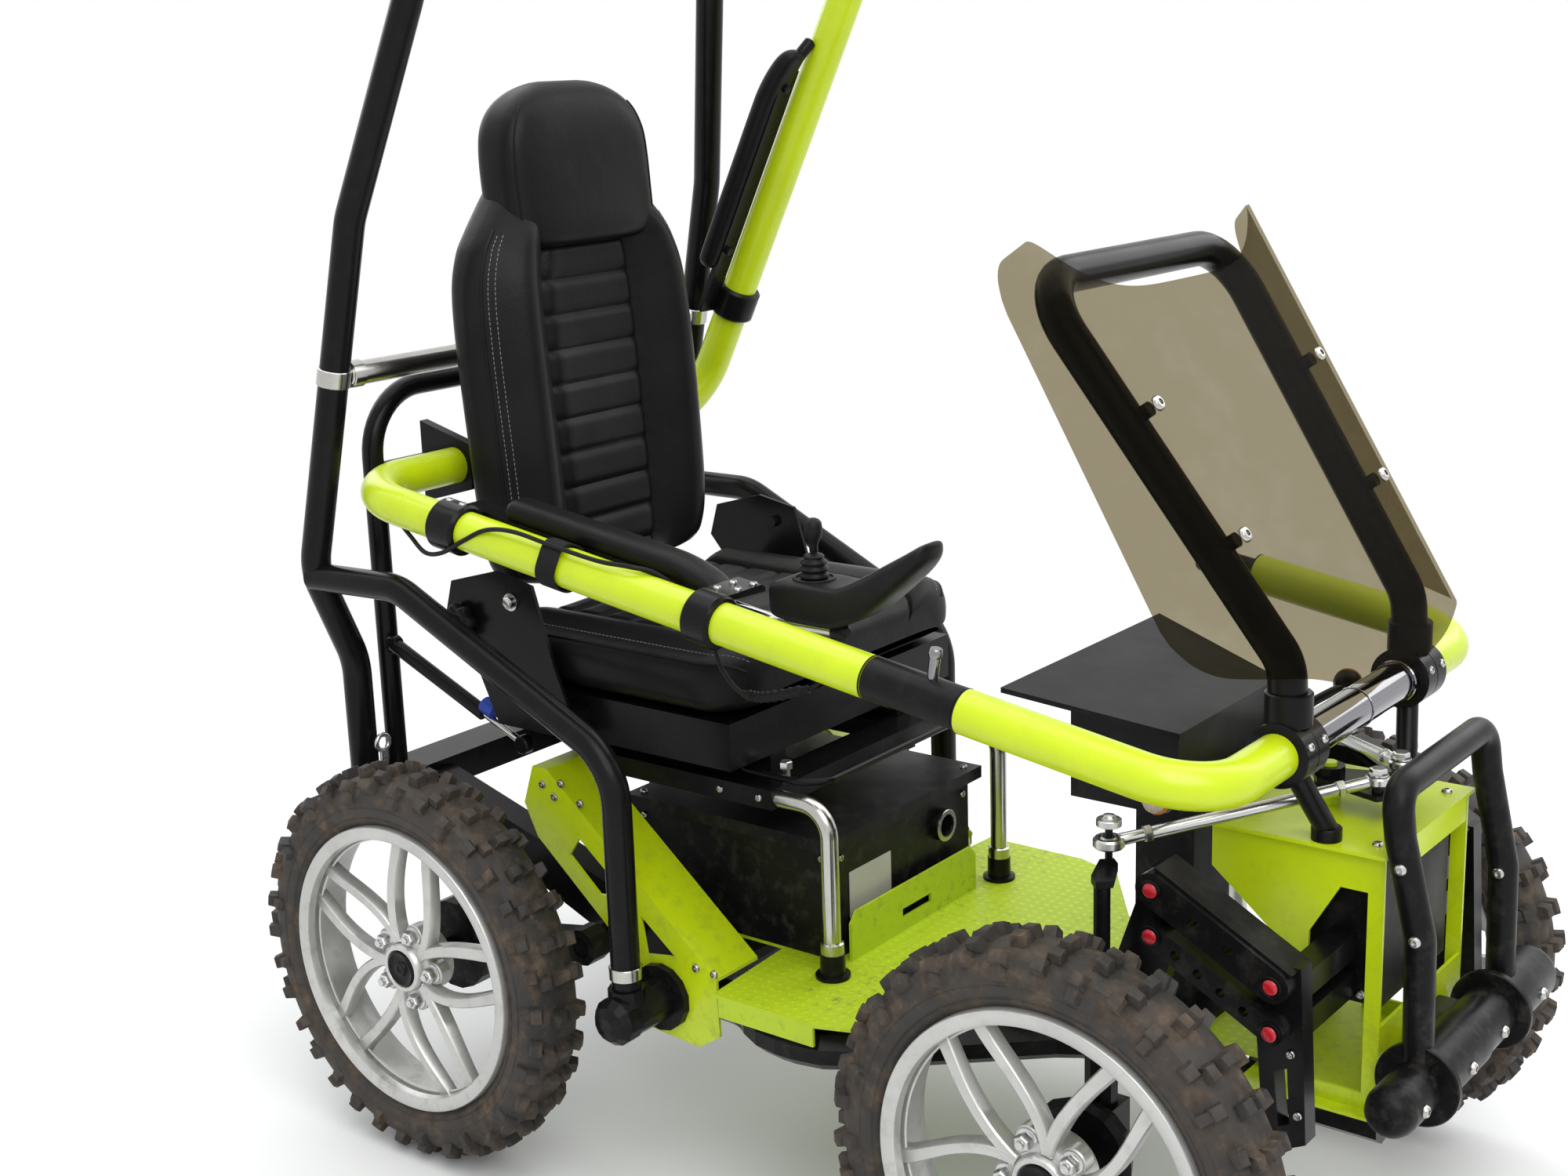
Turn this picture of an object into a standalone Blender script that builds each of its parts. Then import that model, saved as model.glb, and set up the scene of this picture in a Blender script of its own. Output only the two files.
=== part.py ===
"""An all-terrain mobility scooter with four wheels, modelled at rest in metres.

The front points along -Y, up is +Z, and the rider's right side is -X. SIDE is -1 for a
piece on the right and +1 for its mirror image on the left.
"""

import math

import bmesh
import bpy
import numpy as np
from mathutils import Matrix, Vector

# Clearances
GAP = 0.0003
RUNNING = 0.0006

# Wheels
TYRE_RADIUS = 0.264
TYRE_WIDTH = 0.088
RIM_RADIUS = 0.1905
RIM_WALL = 0.007
HUB_RADIUS = 0.044
AXLE_RADIUS = 0.012
TRACK_HALF = 0.378
REAR_AXLE_Y = 0.500
FRONT_AXLE_Y = -0.441
SPOKES = 5
WHEEL_INNER_X = TRACK_HALF - TYRE_WIDTH / 2
AXLE_LENGTH = 0.060

# Floor of the scooter
PLATE_TOP = 0.300
PLATE_THICKNESS = 0.004
PLATE_BOTTOM = PLATE_TOP - PLATE_THICKNESS
PLATE_HALF = 0.306
PLATE_FLANGE = 0.028
SPINE_RADIUS = 0.025
SPINE_Z = 0.255
SPINE_SIDE_X = 0.278
SPINE_REAR_X = 0.236
SPINE_FRONT_X = 0.075
NOSE_FLOOR_TOP = SPINE_Z + SPINE_RADIUS + GAP + 0.004

# Cross tube in the middle of the frame, with its end caps
MID_TUBE_Y = 0.172
MID_TUBE_Z = 0.262
MID_TUBE_RADIUS = 0.0275
MID_FLANGE_RADIUS = 0.0425
MID_FLANGE_WIDTH = 0.010
MID_CAP_RADIUS = 0.030
MID_CAP_END_X = 0.385

# Rear of the frame
RAIL_X = 0.195
RAIL_WIDTH = 0.040
REAR_BAR_Y = 0.666
REAR_BAR_DEPTH = 0.066
REAR_BAR_TOP = 0.458
REAR_BAR_HEIGHT = 0.040
REAR_BAR_HALF = 0.322
SWING_Y = 0.275
SWING_Z = 0.312
SWING_PIN_RADIUS = 0.012
SWING_ARM_X = 0.300
SWING_ARM_WIDTH = 0.030

# Lime side beams and the seat's carrier
BEAM_PLATE_X = 0.280
BEAM_SHEET = 0.004
BEAM_INNER_X = 0.200
SEAT_FRAME_TOP = 0.525
SEAT_FRAME_HEIGHT = 0.025
SEAT_FRAME_HALF = BEAM_INNER_X - GAP
SEAT_FRAME_FRONT_Y = 0.055
SEAT_FRAME_REAR_Y = 0.374
SEAT_POST_X = 0.187
SEAT_POST_RADIUS = 0.011
SEAT_POST_Y = -0.020
COLLAR_RADIUS = 0.01425
COLLAR_HEIGHT = 0.045

# Battery
BATTERY_HALF = 0.150
BATTERY_FRONT_Y = 0.004
BATTERY_REAR_Y = 0.322
BATTERY_TOP = 0.445
LID_HALF = 0.168
LID_THICKNESS = 0.016
LID_LIP = 0.010

# Roll cage
CAGE_RADIUS = 0.019
CAGE_FOOT_X = 0.300
CAGE_WAIST = (0.357, 0.668, 0.755)
CAGE_SHOULDER = (0.338, 0.566, 1.201)
CAGE_NECK = (0.281, 0.500, 1.450)
CAGE_TOP = (0.232, 0.445, 1.680)
CAGE_BEND = 0.110
LOOP_RADIUS = 0.018
LOOP_X = 0.345
LOOP_Y = MID_TUBE_Y
LOOP_TOP_Z = 0.747
LOOP_KNEE_Z = 0.600
LOOP_SEAT_Z = 0.298
LOOP_SHOULDER_Y = 0.520
CROSS_TUBE_Z = 1.007
CROSS_TUBE_RADIUS = 0.015

# Side bars that swing up for the rider to get on
BAR_RADIUS = 0.02415
BAR_X = 0.338
BAR_INNER_X = 0.159
HINGE_Y = 0.606
HINGE_Z = 0.864
BAR_SLOPE = math.radians(8.68)
BAR_BEND = 0.098
BAR_LENGTH = 0.812
SLEEVE_LENGTH = 0.114
BAR_RAISED = math.radians(71.8)
HINGE_PIN_RADIUS = 0.010
HINGE_PIN_LENGTH = 0.040
SPIGOT_RADIUS = 0.0170
SPIGOT_LENGTH = 0.078
SLEEVE_SLOT = 0.0190
LATCH_RADIUS = 0.006
LATCH_HEIGHT = 0.052

# Hinge frame behind the seat
BACK_HOOP_RADIUS = 0.014
BACK_HOOP_X = 0.250
BACK_HOOP_Y = 0.662
BACK_HOOP_TOP = 0.970
BACK_HOOP_BEND = 0.085
LUG_THICKNESS = 0.014
LUG_HEIGHT = 0.110

# Front hoop, its clamps and the windscreen
CLAMP_Y = -0.582
CLAMP_Z = 0.680
CLAMP_X = 0.158
CLAMP_WIDTH = 0.054
CLAMP_RADIUS = 0.034
FRONT_BEND = 0.160
HANDLE_RADIUS = 0.022
SCREEN_TUBE_RADIUS = 0.0200
SCREEN_LEAN = math.radians(34.5)
SCREEN_FOOT_X = 0.158
SCREEN_TOP_X = 0.212
SCREEN_KNEE_Z = 0.770
SCREEN_TOP_Z = 1.147
SCREEN_SHEET = 0.004
SCREEN_STANDOFF = 0.012
SCREEN_FOLD_TOP = 0.245
SCREEN_FOLD_LOW = 0.179
SCREEN_FLAP_TOP = 0.045
SCREEN_FLAP_LOW = 0.095
SCREEN_HEIGHT = 0.485
SCREEN_SCREWS = (0.130, 0.285)

# Nose of the frame
NOSE_TOP = 0.572
NOSE_SHEET = 0.004
NOSE_HALF = 0.125
NOSE_CHEEK_X = 0.116
NOSE_FRONT_Y = -0.672
NOSE_REAR_Y = -0.480
DRIVE_HALF = 0.088
DRIVE_BOTTOM = 0.390
DRIVE_TOP = NOSE_TOP - NOSE_SHEET - GAP

# Bumper
BUMPER_Y = -0.719
BUMPER_Z = 0.335
BUMPER_TUBE_RADIUS = 0.0305
BUMPER_COLLAR_RADIUS = 0.033
BUMPER_FLANGE_RADIUS = 0.045
BUMPER_PLUG_RADIUS = 0.0275
BUMPER_END_X = 0.215
HOOP_RADIUS = 0.016
HOOP_X = 0.119
HOOP_TOP_Z = 0.645
HOOP_BEND = 0.050

# Tray in front of the rider
TRAY_REAR_Y = -0.257
TRAY_REAR_Z = 0.700
TRAY_REAR_HALF = 0.182
TRAY_FRONT_Y = -0.443
TRAY_FRONT_Z = 0.662
TRAY_FRONT_HALF = 0.122
TRAY_THICKNESS = 0.006

# Front suspension and steering
LINK_FRONT_Y = -0.620
LINK_UPPER_FRONT_Z = 0.472
LINK_LOWER_FRONT_Z = 0.422
LINK_REACH_Y = 0.133
LINK_RISE = 0.072
LINK_PIN_RADIUS = 0.006
BRACKET_X = 0.234
BRACKET_WIDTH = 0.024
ARM_WIDTH = 0.020
KINGPIN_X = 0.284
KINGPIN_RADIUS = 0.009
BARREL_RADIUS = 0.018
BARREL_TOP = 0.440
BARREL_BOTTOM = 0.305
STUD_X = 0.240
STUD_Y = -0.424
STUD_RADIUS = 0.004
STEER_ARM_TOP = 0.553
EYE_Z = 0.574
EYE_RADIUS = 0.0165
EYE_BORE = 0.0115
EYE_HEIGHT = 0.010
CRANK_Y = -0.560
CRANK_PIN_X = 0.031
CRANK_PIN_Y = -0.627
CRANK_TOP = NOSE_TOP + 0.032
CRANK_PIN_RADIUS = 0.005
ROD_RADIUS = 0.007
ROD_INNER_Z = CRANK_TOP + 0.009

# Seat
CUSHION_FRONT_Y = 0.072
CUSHION_REAR_Y = 0.452
CUSHION_HALF = 0.250
CUSHION_BOTTOM = 0.612
CUSHION_TOP = 0.700
BACK_FRONT_Y = 0.464
BACK_LEAN = 0.050
BACK_DEPTH = 0.074
BACK_BOTTOM = 0.716
BACK_TOP = 1.354
RECLINE_Y = 0.404
RECLINE_Z = 0.728
RECLINE_PLATE_X = 0.266
RECLINE_PLATE = 0.005
KNOB_Y = 0.486
KNOB_Z = 0.694

# Joystick on the right bar
JOYSTICK_X = 0.250
JOYSTICK_CLAMP_AT = 0.590
JOYSTICK_TOP = 0.812
JOYSTICK_Y = -0.058


def shade(mesh):
    """Smooth shading that keeps the sharp edges."""
    mesh.shade_smooth()
    mesh.set_sharp_from_angle(angle=math.radians(35))


def solid(name, vertices, faces):
    """A closed mesh object with its normals turned outwards."""
    shape = bmesh.new()
    points = [shape.verts.new(point) for point in vertices]
    for face in faces:
        shape.faces.new([points[index] for index in face])
    bmesh.ops.recalc_face_normals(shape, faces=shape.faces[:])
    mesh = bpy.data.meshes.new(name)
    shape.to_mesh(mesh)
    shape.free()
    thing = bpy.data.objects.new(name, mesh)
    bpy.context.scene.collection.objects.link(thing)
    return thing


def loft(rings, name="loft"):
    """A solid through rings that have equal numbers of points, with a flat cap on each end."""
    count = len(rings[0])
    vertices = [point for ring in rings for point in ring]
    faces = [list(range(count)), list(range(len(vertices) - count, len(vertices)))]
    for level in range(len(rings) - 1):
        low = level * count
        high = low + count
        for index in range(count):
            after = (index + 1) % count
            faces.append([low + index, low + after, high + after, high + index])
    return solid(name, vertices, faces)


def box(low, high):
    """A box between two corners."""
    (x0, y0, z0), (x1, y1, z1) = low, high
    bottom = [(x0, y0, z0), (x1, y0, z0), (x1, y1, z0), (x0, y1, z0)]
    top = [(x, y, z1) for x, y, _ in bottom]
    return loft([bottom, top])


def prism(outline, axis, low, high):
    """An outline drawn across an axis, pulled out along it from low to high."""
    place = {
        "X": lambda a, b, along: (along, a, b),
        "Y": lambda a, b, along: (a, along, b),
        "Z": lambda a, b, along: (a, b, along),
    }[axis]
    return loft([[place(a, b, along) for a, b in outline] for along in (low, high)])


def ring_points(centre, across, other, radius, sides):
    """Points of a circle spanned by two unit vectors."""
    turns = [2 * math.pi * (index + 0.5) / sides for index in range(sides)]
    return [centre + radius * (math.cos(turn) * across + math.sin(turn) * other) for turn in turns]


def sweep(path, radius, sides=10):
    """A round bar along a path of points. The radius is one value, or one for each point."""
    points = [Vector(point) for point in path]
    radii = [radius] * len(points) if isinstance(radius, (int, float)) else radius
    steps = [(b - a).normalized() for a, b in zip(points, points[1:])]
    across = steps[0].orthogonal().normalized()
    rings = []
    for index, point in enumerate(points):
        before = steps[max(index - 1, 0)]
        after = steps[min(index, len(steps) - 1)]
        along = (before + after).normalized()
        across = (across - across.dot(along) * along).normalized()
        rings.append(ring_points(point, across, along.cross(across), radii[index], sides))
    return loft(rings)


def cylinder(start, end, radius, sides=10):
    """A round bar between two points."""
    return sweep([start, end], radius, sides)


def room(neighbour, corner, end):
    """The length that a bend may use: half of a run that two bends share, or an end run."""
    share = 0.98 if neighbour is end else 0.49
    return share * (neighbour - corner).length


def bent(points, radius, steps=3):
    """A path through corner points with each inner corner turned into an arc."""
    corners = [Vector(point) for point in points]
    path = [corners[0]]
    for before, corner, after in zip(corners, corners[1:], corners[2:]):
        into = (before - corner).normalized()
        out = (after - corner).normalized()
        half = into.angle(out) / 2
        reach = radius / math.tan(half)
        limit = min(room(before, corner, corners[0]), room(after, corner, corners[-1]))
        bend = radius if reach <= limit else limit * math.tan(half)
        centre = corner + (into + out).normalized() * (bend / math.sin(half))
        start = corner + into * min(reach, limit) - centre
        end = corner + out * min(reach, limit) - centre
        turn = start.angle(end)
        normal = start.cross(end).normalized()
        for index in range(steps + 1):
            path.append(centre + Matrix.Rotation(turn * index / steps, 3, normal) @ start)
    path.append(corners[-1])
    return path


def turned(profile, axis_point, side, sides=16):
    """A solid turned about an axis along X. The profile lists (x, radius) from one end to the other."""
    _, y, z = axis_point
    rings = []
    for x, radius in profile:
        centre = Vector((side * x, y, z))
        rings.append(ring_points(centre, Vector((0, 1, 0)), Vector((0, 0, 1)), radius, sides))
    return loft(rings)


def hoop_about_x(x_low, x_high, inner, outer, centre, sides=20):
    """A plain ring about an axis along X."""
    y, z = centre
    across, other = Vector((0, 1, 0)), Vector((0, 0, 1))
    rings = []
    for x, radius in ((x_low, inner), (x_low, outer), (x_high, outer), (x_high, inner)):
        rings.append(ring_points(Vector((x, y, z)), across, other, radius, sides))
    return closed_ring(rings)


def closed_ring(rings):
    """A ring-shaped solid: the last ring of points joins the first."""
    count = len(rings[0])
    vertices = [point for ring in rings for point in ring]
    faces = []
    for level in range(len(rings)):
        low = level * count
        high = ((level + 1) % len(rings)) * count
        for index in range(count):
            after = (index + 1) % count
            faces.append([low + index, low + after, high + after, high + index])
    return solid("ring", vertices, faces)


def combine(base, others, operation):
    """The base after a Boolean with each of the others, which are used up."""
    for other in others:
        step = base.modifiers.new(operation.lower(), "BOOLEAN")
        step.operation = operation
        step.solver = "EXACT"
        step.object = other
    bpy.context.view_layer.update()
    graph = bpy.context.evaluated_depsgraph_get()
    mesh = bpy.data.meshes.new_from_object(base.evaluated_get(graph))
    base.modifiers.clear()
    base.data = mesh
    for other in others:
        bpy.data.objects.remove(other)
    return base


def fused(shapes, cuts=()):
    """One body from shapes that overlap, less the cuts."""
    base = combine(shapes[0], shapes[1:], "UNION") if len(shapes) > 1 else shapes[0]
    return combine(base, list(cuts), "DIFFERENCE") if cuts else base



def material(name, colour, roughness, metallic=0.0):
    """A Principled material, made once for each name."""
    made = bpy.data.materials.new(name)
    made.use_nodes = True
    shader = made.node_tree.nodes["Principled BSDF"]
    shader.inputs["Base Color"].default_value = (*colour, 1.0)
    shader.inputs["Roughness"].default_value = roughness
    shader.inputs["Metallic"].default_value = metallic
    return made


LOOKS = {
    "lime": ((0.55, 0.72, 0.02), 0.35, 0.0),
    "black": ((0.02, 0.02, 0.022), 0.45, 0.2),
    "silver": ((0.62, 0.62, 0.62), 0.35, 0.8),
    "zinc": ((0.66, 0.67, 0.66), 0.3, 0.9),
    "chrome": ((0.35, 0.36, 0.38), 0.12, 1.0),
    "rubber": ((0.045, 0.036, 0.028), 0.85, 0.0),
    "leather": ((0.018, 0.018, 0.020), 0.42, 0.0),
    "plastic": ((0.022, 0.022, 0.024), 0.5, 0.0),
    "smoke": ((0.25, 0.23, 0.17), 0.08, 0.0),
}


def finish(thing, name, look, origin=(0, 0, 0)):
    """Names a piece, gives it its own material and puts its origin on its joint."""
    thing.name = name
    thing.data.name = name
    thing.data.transform(Matrix.Translation(-Vector(origin)))
    thing.location = origin
    thing.data.materials.clear()
    thing.data.materials.append(material(name + "_" + look, *LOOKS[look]))
    shade(thing.data)
    return thing


def bore_size(radius, sides=10, clearance=RUNNING):
    """The radius of a faceted hole whose flats clear a pin that turns in it."""
    return (radius + clearance) / math.cos(math.pi / sides)


def side_name(base, side):
    return base + ("_right" if side < 0 else "_left")


def mirrored(points, side):
    """Points with their X turned to the given side."""
    return [(side * x, y, z) for x, y, z in points]


def clear_scene():
    for thing in list(bpy.data.objects):
        bpy.data.objects.remove(thing)


# Wheels and suspension


def wheel(end, side, axle_y):
    """A tyre and an alloy rim with paired spokes. They turn together on their axle."""
    place = (side * TRACK_HALF, axle_y, TYRE_RADIUS)
    inner = WHEEL_INNER_X
    outer = inner + TYRE_WIDTH
    bead = RIM_RADIUS + GAP
    tyre_outer = [
        (inner + 0.010, bead),
        (inner, bead + 0.022),
        (inner + 0.006, TYRE_RADIUS - 0.014),
        (inner + 0.020, TYRE_RADIUS),
        (outer - 0.020, TYRE_RADIUS),
        (outer - 0.006, TYRE_RADIUS - 0.014),
        (outer, bead + 0.022),
        (outer - 0.010, bead),
    ]
    rings = []
    for x, radius in tyre_outer:
        centre = Vector((side * x, axle_y, TYRE_RADIUS))
        rings.append(ring_points(centre, Vector((0, 1, 0)), Vector((0, 0, 1)), radius, 24))
    finish(closed_ring(rings), side_name(end + "_tyre", side), "rubber", place)

    x0, x1 = inner + 0.008, outer - 0.003
    middle = (axle_y, TYRE_RADIUS)
    barrel = hoop_about_x(side * x0, side * x1, RIM_RADIUS - RIM_WALL, RIM_RADIUS, middle, 24)
    hub = turned([(x0, HUB_RADIUS), (x1 - 0.012, HUB_RADIUS)], (0, *middle), side, 14)
    spokes = []
    for index in range(SPOKES):
        for lean in (-1, 1):
            turn = 2 * math.pi * index / SPOKES
            root = turn + lean * 0.30
            rim = turn + lean * 0.17
            inner_end = Vector((0, math.cos(root), math.sin(root))) * (HUB_RADIUS - 0.012)
            outer_end = Vector((0, math.cos(rim), math.sin(rim))) * (RIM_RADIUS - RIM_WALL / 2)
            run = (outer_end - inner_end).normalized()
            broad = Vector((0, -run.z, run.y)) * 0.0075
            ends = []
            for end_point, front in ((inner_end, x1 - 0.014), (outer_end, x1 - 0.006)):
                centre = Vector((0, *middle)) + end_point
                back = Vector((side * (front - 0.020), 0, 0))
                ahead = Vector((side * front, 0, 0))
                ends.append([centre + back - broad, centre + back + broad,
                             centre + ahead + broad, centre + ahead - broad])
            spokes.append(loft(ends))
    bore = cylinder((side * (x0 - 0.01), *middle), (side * (inner + AXLE_LENGTH), *middle),
                    bore_size(AXLE_RADIUS, 14), 14)
    rim = fused([barrel, hub] + spokes, [bore])
    finish(rim, side_name(end + "_rim", side), "silver", place)


def axle_stub(side, axle_y, start_x):
    """The stub that carries a wheel, from start_x out into the rim's bore."""
    end_x = WHEEL_INNER_X + AXLE_LENGTH - 0.002
    return cylinder((side * start_x, axle_y, TYRE_RADIUS), (side * end_x, axle_y, TYRE_RADIUS),
                    AXLE_RADIUS, 14)


def rear_arm(side):
    """A trailing arm from the frame's pin back to the axle, with the hub motor's carrier."""
    low = SWING_ARM_X - SWING_ARM_WIDTH / 2
    high = SWING_ARM_X + SWING_ARM_WIDTH / 2
    eye = cylinder((side * low, SWING_Y, SWING_Z), (side * high, SWING_Y, SWING_Z), 0.024)
    depth = 0.020
    outline = [
        (SWING_Y, SWING_Z - depth), (REAR_AXLE_Y, TYRE_RADIUS - depth * 1.3),
        (REAR_AXLE_Y, TYRE_RADIUS + depth * 1.3), (SWING_Y, SWING_Z + depth),
    ]
    blade = prism(outline, "X", side * (low + 0.003), side * (high - 0.003))
    motor = turned([(0.245, 0.052), (0.250, 0.060), (high + 0.006, 0.060), (high + 0.009, 0.050)],
                   (0, REAR_AXLE_Y, TYRE_RADIUS), side)
    bore = cylinder((side * (low - 0.01), SWING_Y, SWING_Z), (side * (high + 0.01), SWING_Y, SWING_Z),
                    bore_size(SWING_PIN_RADIUS))
    arm = fused([eye, blade, motor, axle_stub(side, REAR_AXLE_Y, SWING_ARM_X)], [bore])
    finish(arm, side_name("rear_arm", side), "black", (side * SWING_ARM_X, SWING_Y, SWING_Z))


def link_end(z_front):
    """The rear pivot of a front link, from its front pivot."""
    return LINK_FRONT_Y + LINK_REACH_Y, z_front + LINK_RISE


def link(name, side, z_front, half_height, look):
    """One link of the parallelogram that carries a front wheel."""
    low = BRACKET_X + BRACKET_WIDTH / 2 + GAP
    high = low + ARM_WIDTH
    rear_y, rear_z = link_end(z_front)
    ends = []
    for y, z in ((LINK_FRONT_Y, z_front), (rear_y, rear_z)):
        ends.append(cylinder((side * low, y, z), (side * high, y, z), half_height, 10))
    along = Vector((0, LINK_REACH_Y, LINK_RISE)).normalized()
    normal = Vector((0, -along.z, along.y)) * half_height * 0.96
    front = Vector((0, LINK_FRONT_Y, z_front))
    rear = Vector((0, rear_y, rear_z))
    corners = [front - normal, rear - normal, rear + normal, front + normal]
    web = prism([(corner.y, corner.z) for corner in corners], "X", side * low, side * high)
    bores = []
    for y, z in ((LINK_FRONT_Y, z_front), (rear_y, rear_z)):
        bores.append(cylinder((side * (low - 0.01), y, z), (side * (high + 0.01), y, z),
                              bore_size(LINK_PIN_RADIUS, 10), 10))
    body = fused([web] + ends, bores)
    finish(body, side_name(name, side), look, (side * (low + high) / 2, LINK_FRONT_Y, z_front))


def pins(side, points, start_x, end_x, radius):
    """Pins along X through a list of (y, z) points."""
    return [cylinder((side * start_x, y, z), (side * end_x, y, z), radius, 10) for y, z in points]


def front_bracket(side):
    """The plate beside the drive box that carries both links of one front wheel."""
    low = BRACKET_X - BRACKET_WIDTH / 2
    high = BRACKET_X + BRACKET_WIDTH / 2
    outline = [
        (-0.642, 0.488), (-0.600, 0.488), (-0.596, 0.410), (-0.606, 0.300),
        (-0.628, 0.288), (-0.652, 0.300),
    ]
    plate = prism(outline, "X", side * low, side * high)
    ties = []
    for z in (0.455, 0.412):
        ties.append(box_between(side * (DRIVE_HALF + GAP), side * (low + 0.004),
                                (-0.634, -0.606), (z - 0.014, z + 0.014)))
    pivots = [(LINK_FRONT_Y, LINK_UPPER_FRONT_Z), (LINK_FRONT_Y, LINK_LOWER_FRONT_Z)]
    studs = pins(side, pivots, high - 0.004, high + ARM_WIDTH - 0.001, LINK_PIN_RADIUS)
    slot = prism([(-0.634, 0.318), (-0.622, 0.312), (-0.616, 0.372), (-0.630, 0.378)], "X",
                 side * (low - 0.01), side * (high + 0.01))
    body = fused([plate] + ties + studs, [slot])
    finish(body, side_name("front_bracket", side), "black")


def box_between(x0, x1, ys, zs):
    """A box from two X values in any order, and pairs of Y and Z."""
    return box((min(x0, x1), ys[0], zs[0]), (max(x0, x1), ys[1], zs[1]))


def upright(side):
    """The block at the links' rear ends, with the barrel that the kingpin turns in."""
    low = BRACKET_X - BRACKET_WIDTH / 2
    high = BRACKET_X + BRACKET_WIDTH / 2
    upper = link_end(LINK_UPPER_FRONT_Z)
    lower = link_end(LINK_LOWER_FRONT_Z)
    outline = [
        (upper[0] - 0.016, upper[1] + 0.014), (upper[0] + 0.014, upper[1] + 0.014),
        (FRONT_AXLE_Y + 0.012, BARREL_TOP - 0.010), (FRONT_AXLE_Y + 0.012, BARREL_BOTTOM + 0.030),
        (FRONT_AXLE_Y - 0.016, BARREL_BOTTOM + 0.030), (lower[0] - 0.018, lower[1] - 0.016),
    ]
    plate = prism(outline, "X", side * low, side * high)
    barrel = cylinder((side * KINGPIN_X, FRONT_AXLE_Y, BARREL_BOTTOM),
                      (side * KINGPIN_X, FRONT_AXLE_Y, BARREL_TOP), BARREL_RADIUS)
    web = box_between(side * (low + 0.006), side * KINGPIN_X, (FRONT_AXLE_Y - 0.012, FRONT_AXLE_Y + 0.010),
                      (BARREL_BOTTOM + 0.034, BARREL_TOP - 0.014))
    studs = pins(side, [upper, lower], high - 0.004, high + ARM_WIDTH - 0.001, LINK_PIN_RADIUS)
    bore = cylinder((side * KINGPIN_X, FRONT_AXLE_Y, BARREL_BOTTOM - 0.02),
                    (side * KINGPIN_X, FRONT_AXLE_Y, BARREL_TOP + 0.02), bore_size(KINGPIN_RADIUS))
    body = fused([plate, barrel, web] + studs, [bore])
    finish(body, side_name("upright", side), "black", (side * BRACKET_X, *upper))


def knuckle(side):
    """The kingpin with the wheel's stub below it and the steering arm on top."""
    x = side * KINGPIN_X
    pin = cylinder((x, FRONT_AXLE_Y, 0.240), (x, FRONT_AXLE_Y, STEER_ARM_TOP - 0.002), KINGPIN_RADIUS)
    foot = box_between(side * (KINGPIN_X - 0.022), side * (KINGPIN_X + 0.030),
                       (FRONT_AXLE_Y - 0.022, FRONT_AXLE_Y + 0.022), (0.230, BARREL_BOTTOM - GAP))
    motor = turned([(KINGPIN_X + 0.020, 0.050), (WHEEL_INNER_X - 0.008, 0.060),
                    (WHEEL_INNER_X - 0.004, 0.052)], (0, FRONT_AXLE_Y, TYRE_RADIUS), side)
    arm = loft([[(x, FRONT_AXLE_Y - 0.013, z), (x + side * 0.013, FRONT_AXLE_Y, z),
                 (x, FRONT_AXLE_Y + 0.013, z), (side * STUD_X, STUD_Y + 0.011, z),
                 (side * (STUD_X - 0.011), STUD_Y, z), (side * STUD_X, STUD_Y - 0.011, z)]
                for z in (STEER_ARM_TOP - 0.008, STEER_ARM_TOP)])
    stud = cylinder((side * STUD_X, STUD_Y, STEER_ARM_TOP - 0.004),
                    (side * STUD_X, STUD_Y, EYE_Z + 0.024), STUD_RADIUS, 12)
    cap = cylinder((side * STUD_X, STUD_Y, EYE_Z + 0.019), (side * STUD_X, STUD_Y, EYE_Z + 0.025),
                   0.013, 14)
    stub = axle_stub(side, FRONT_AXLE_Y, KINGPIN_X + 0.010)
    body = fused([pin, foot, motor, arm, stud, cap, stub])
    finish(body, side_name("knuckle", side), "black", (x, FRONT_AXLE_Y, TYRE_RADIUS))


def track_rod(side):
    """The rod from the steering crank to the steering arm. Its outer eye has room round the stud."""
    inner = Vector((side * CRANK_PIN_X, CRANK_PIN_Y, ROD_INNER_Z))
    outer = Vector((side * STUD_X, STUD_Y, EYE_Z))
    up = Vector((0, 0, 1))
    half = up * EYE_HEIGHT / 2
    inner_centre = inner + half
    inner_eye = cylinder(inner, inner + 2 * half, 0.013)
    outer_eye = cylinder(outer - half, outer + half, EYE_RADIUS, 16)
    along = (outer - inner_centre).normalized()
    rod = cylinder(inner_centre + along * 0.010, outer - along * (EYE_BORE + 0.001), ROD_RADIUS - 0.002, 10)
    grip = cylinder(inner_centre + along * 0.045, outer - along * 0.050, ROD_RADIUS, 10)
    bores = [
        cylinder(inner - half, inner + 3 * half, bore_size(CRANK_PIN_RADIUS, 10), 10),
        cylinder(outer - 2 * half, outer + 2 * half, EYE_BORE, 16),
    ]
    body = fused([inner_eye, outer_eye, rod, grip], bores)
    finish(body, side_name("track_rod", side), "zinc", inner_centre)


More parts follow.
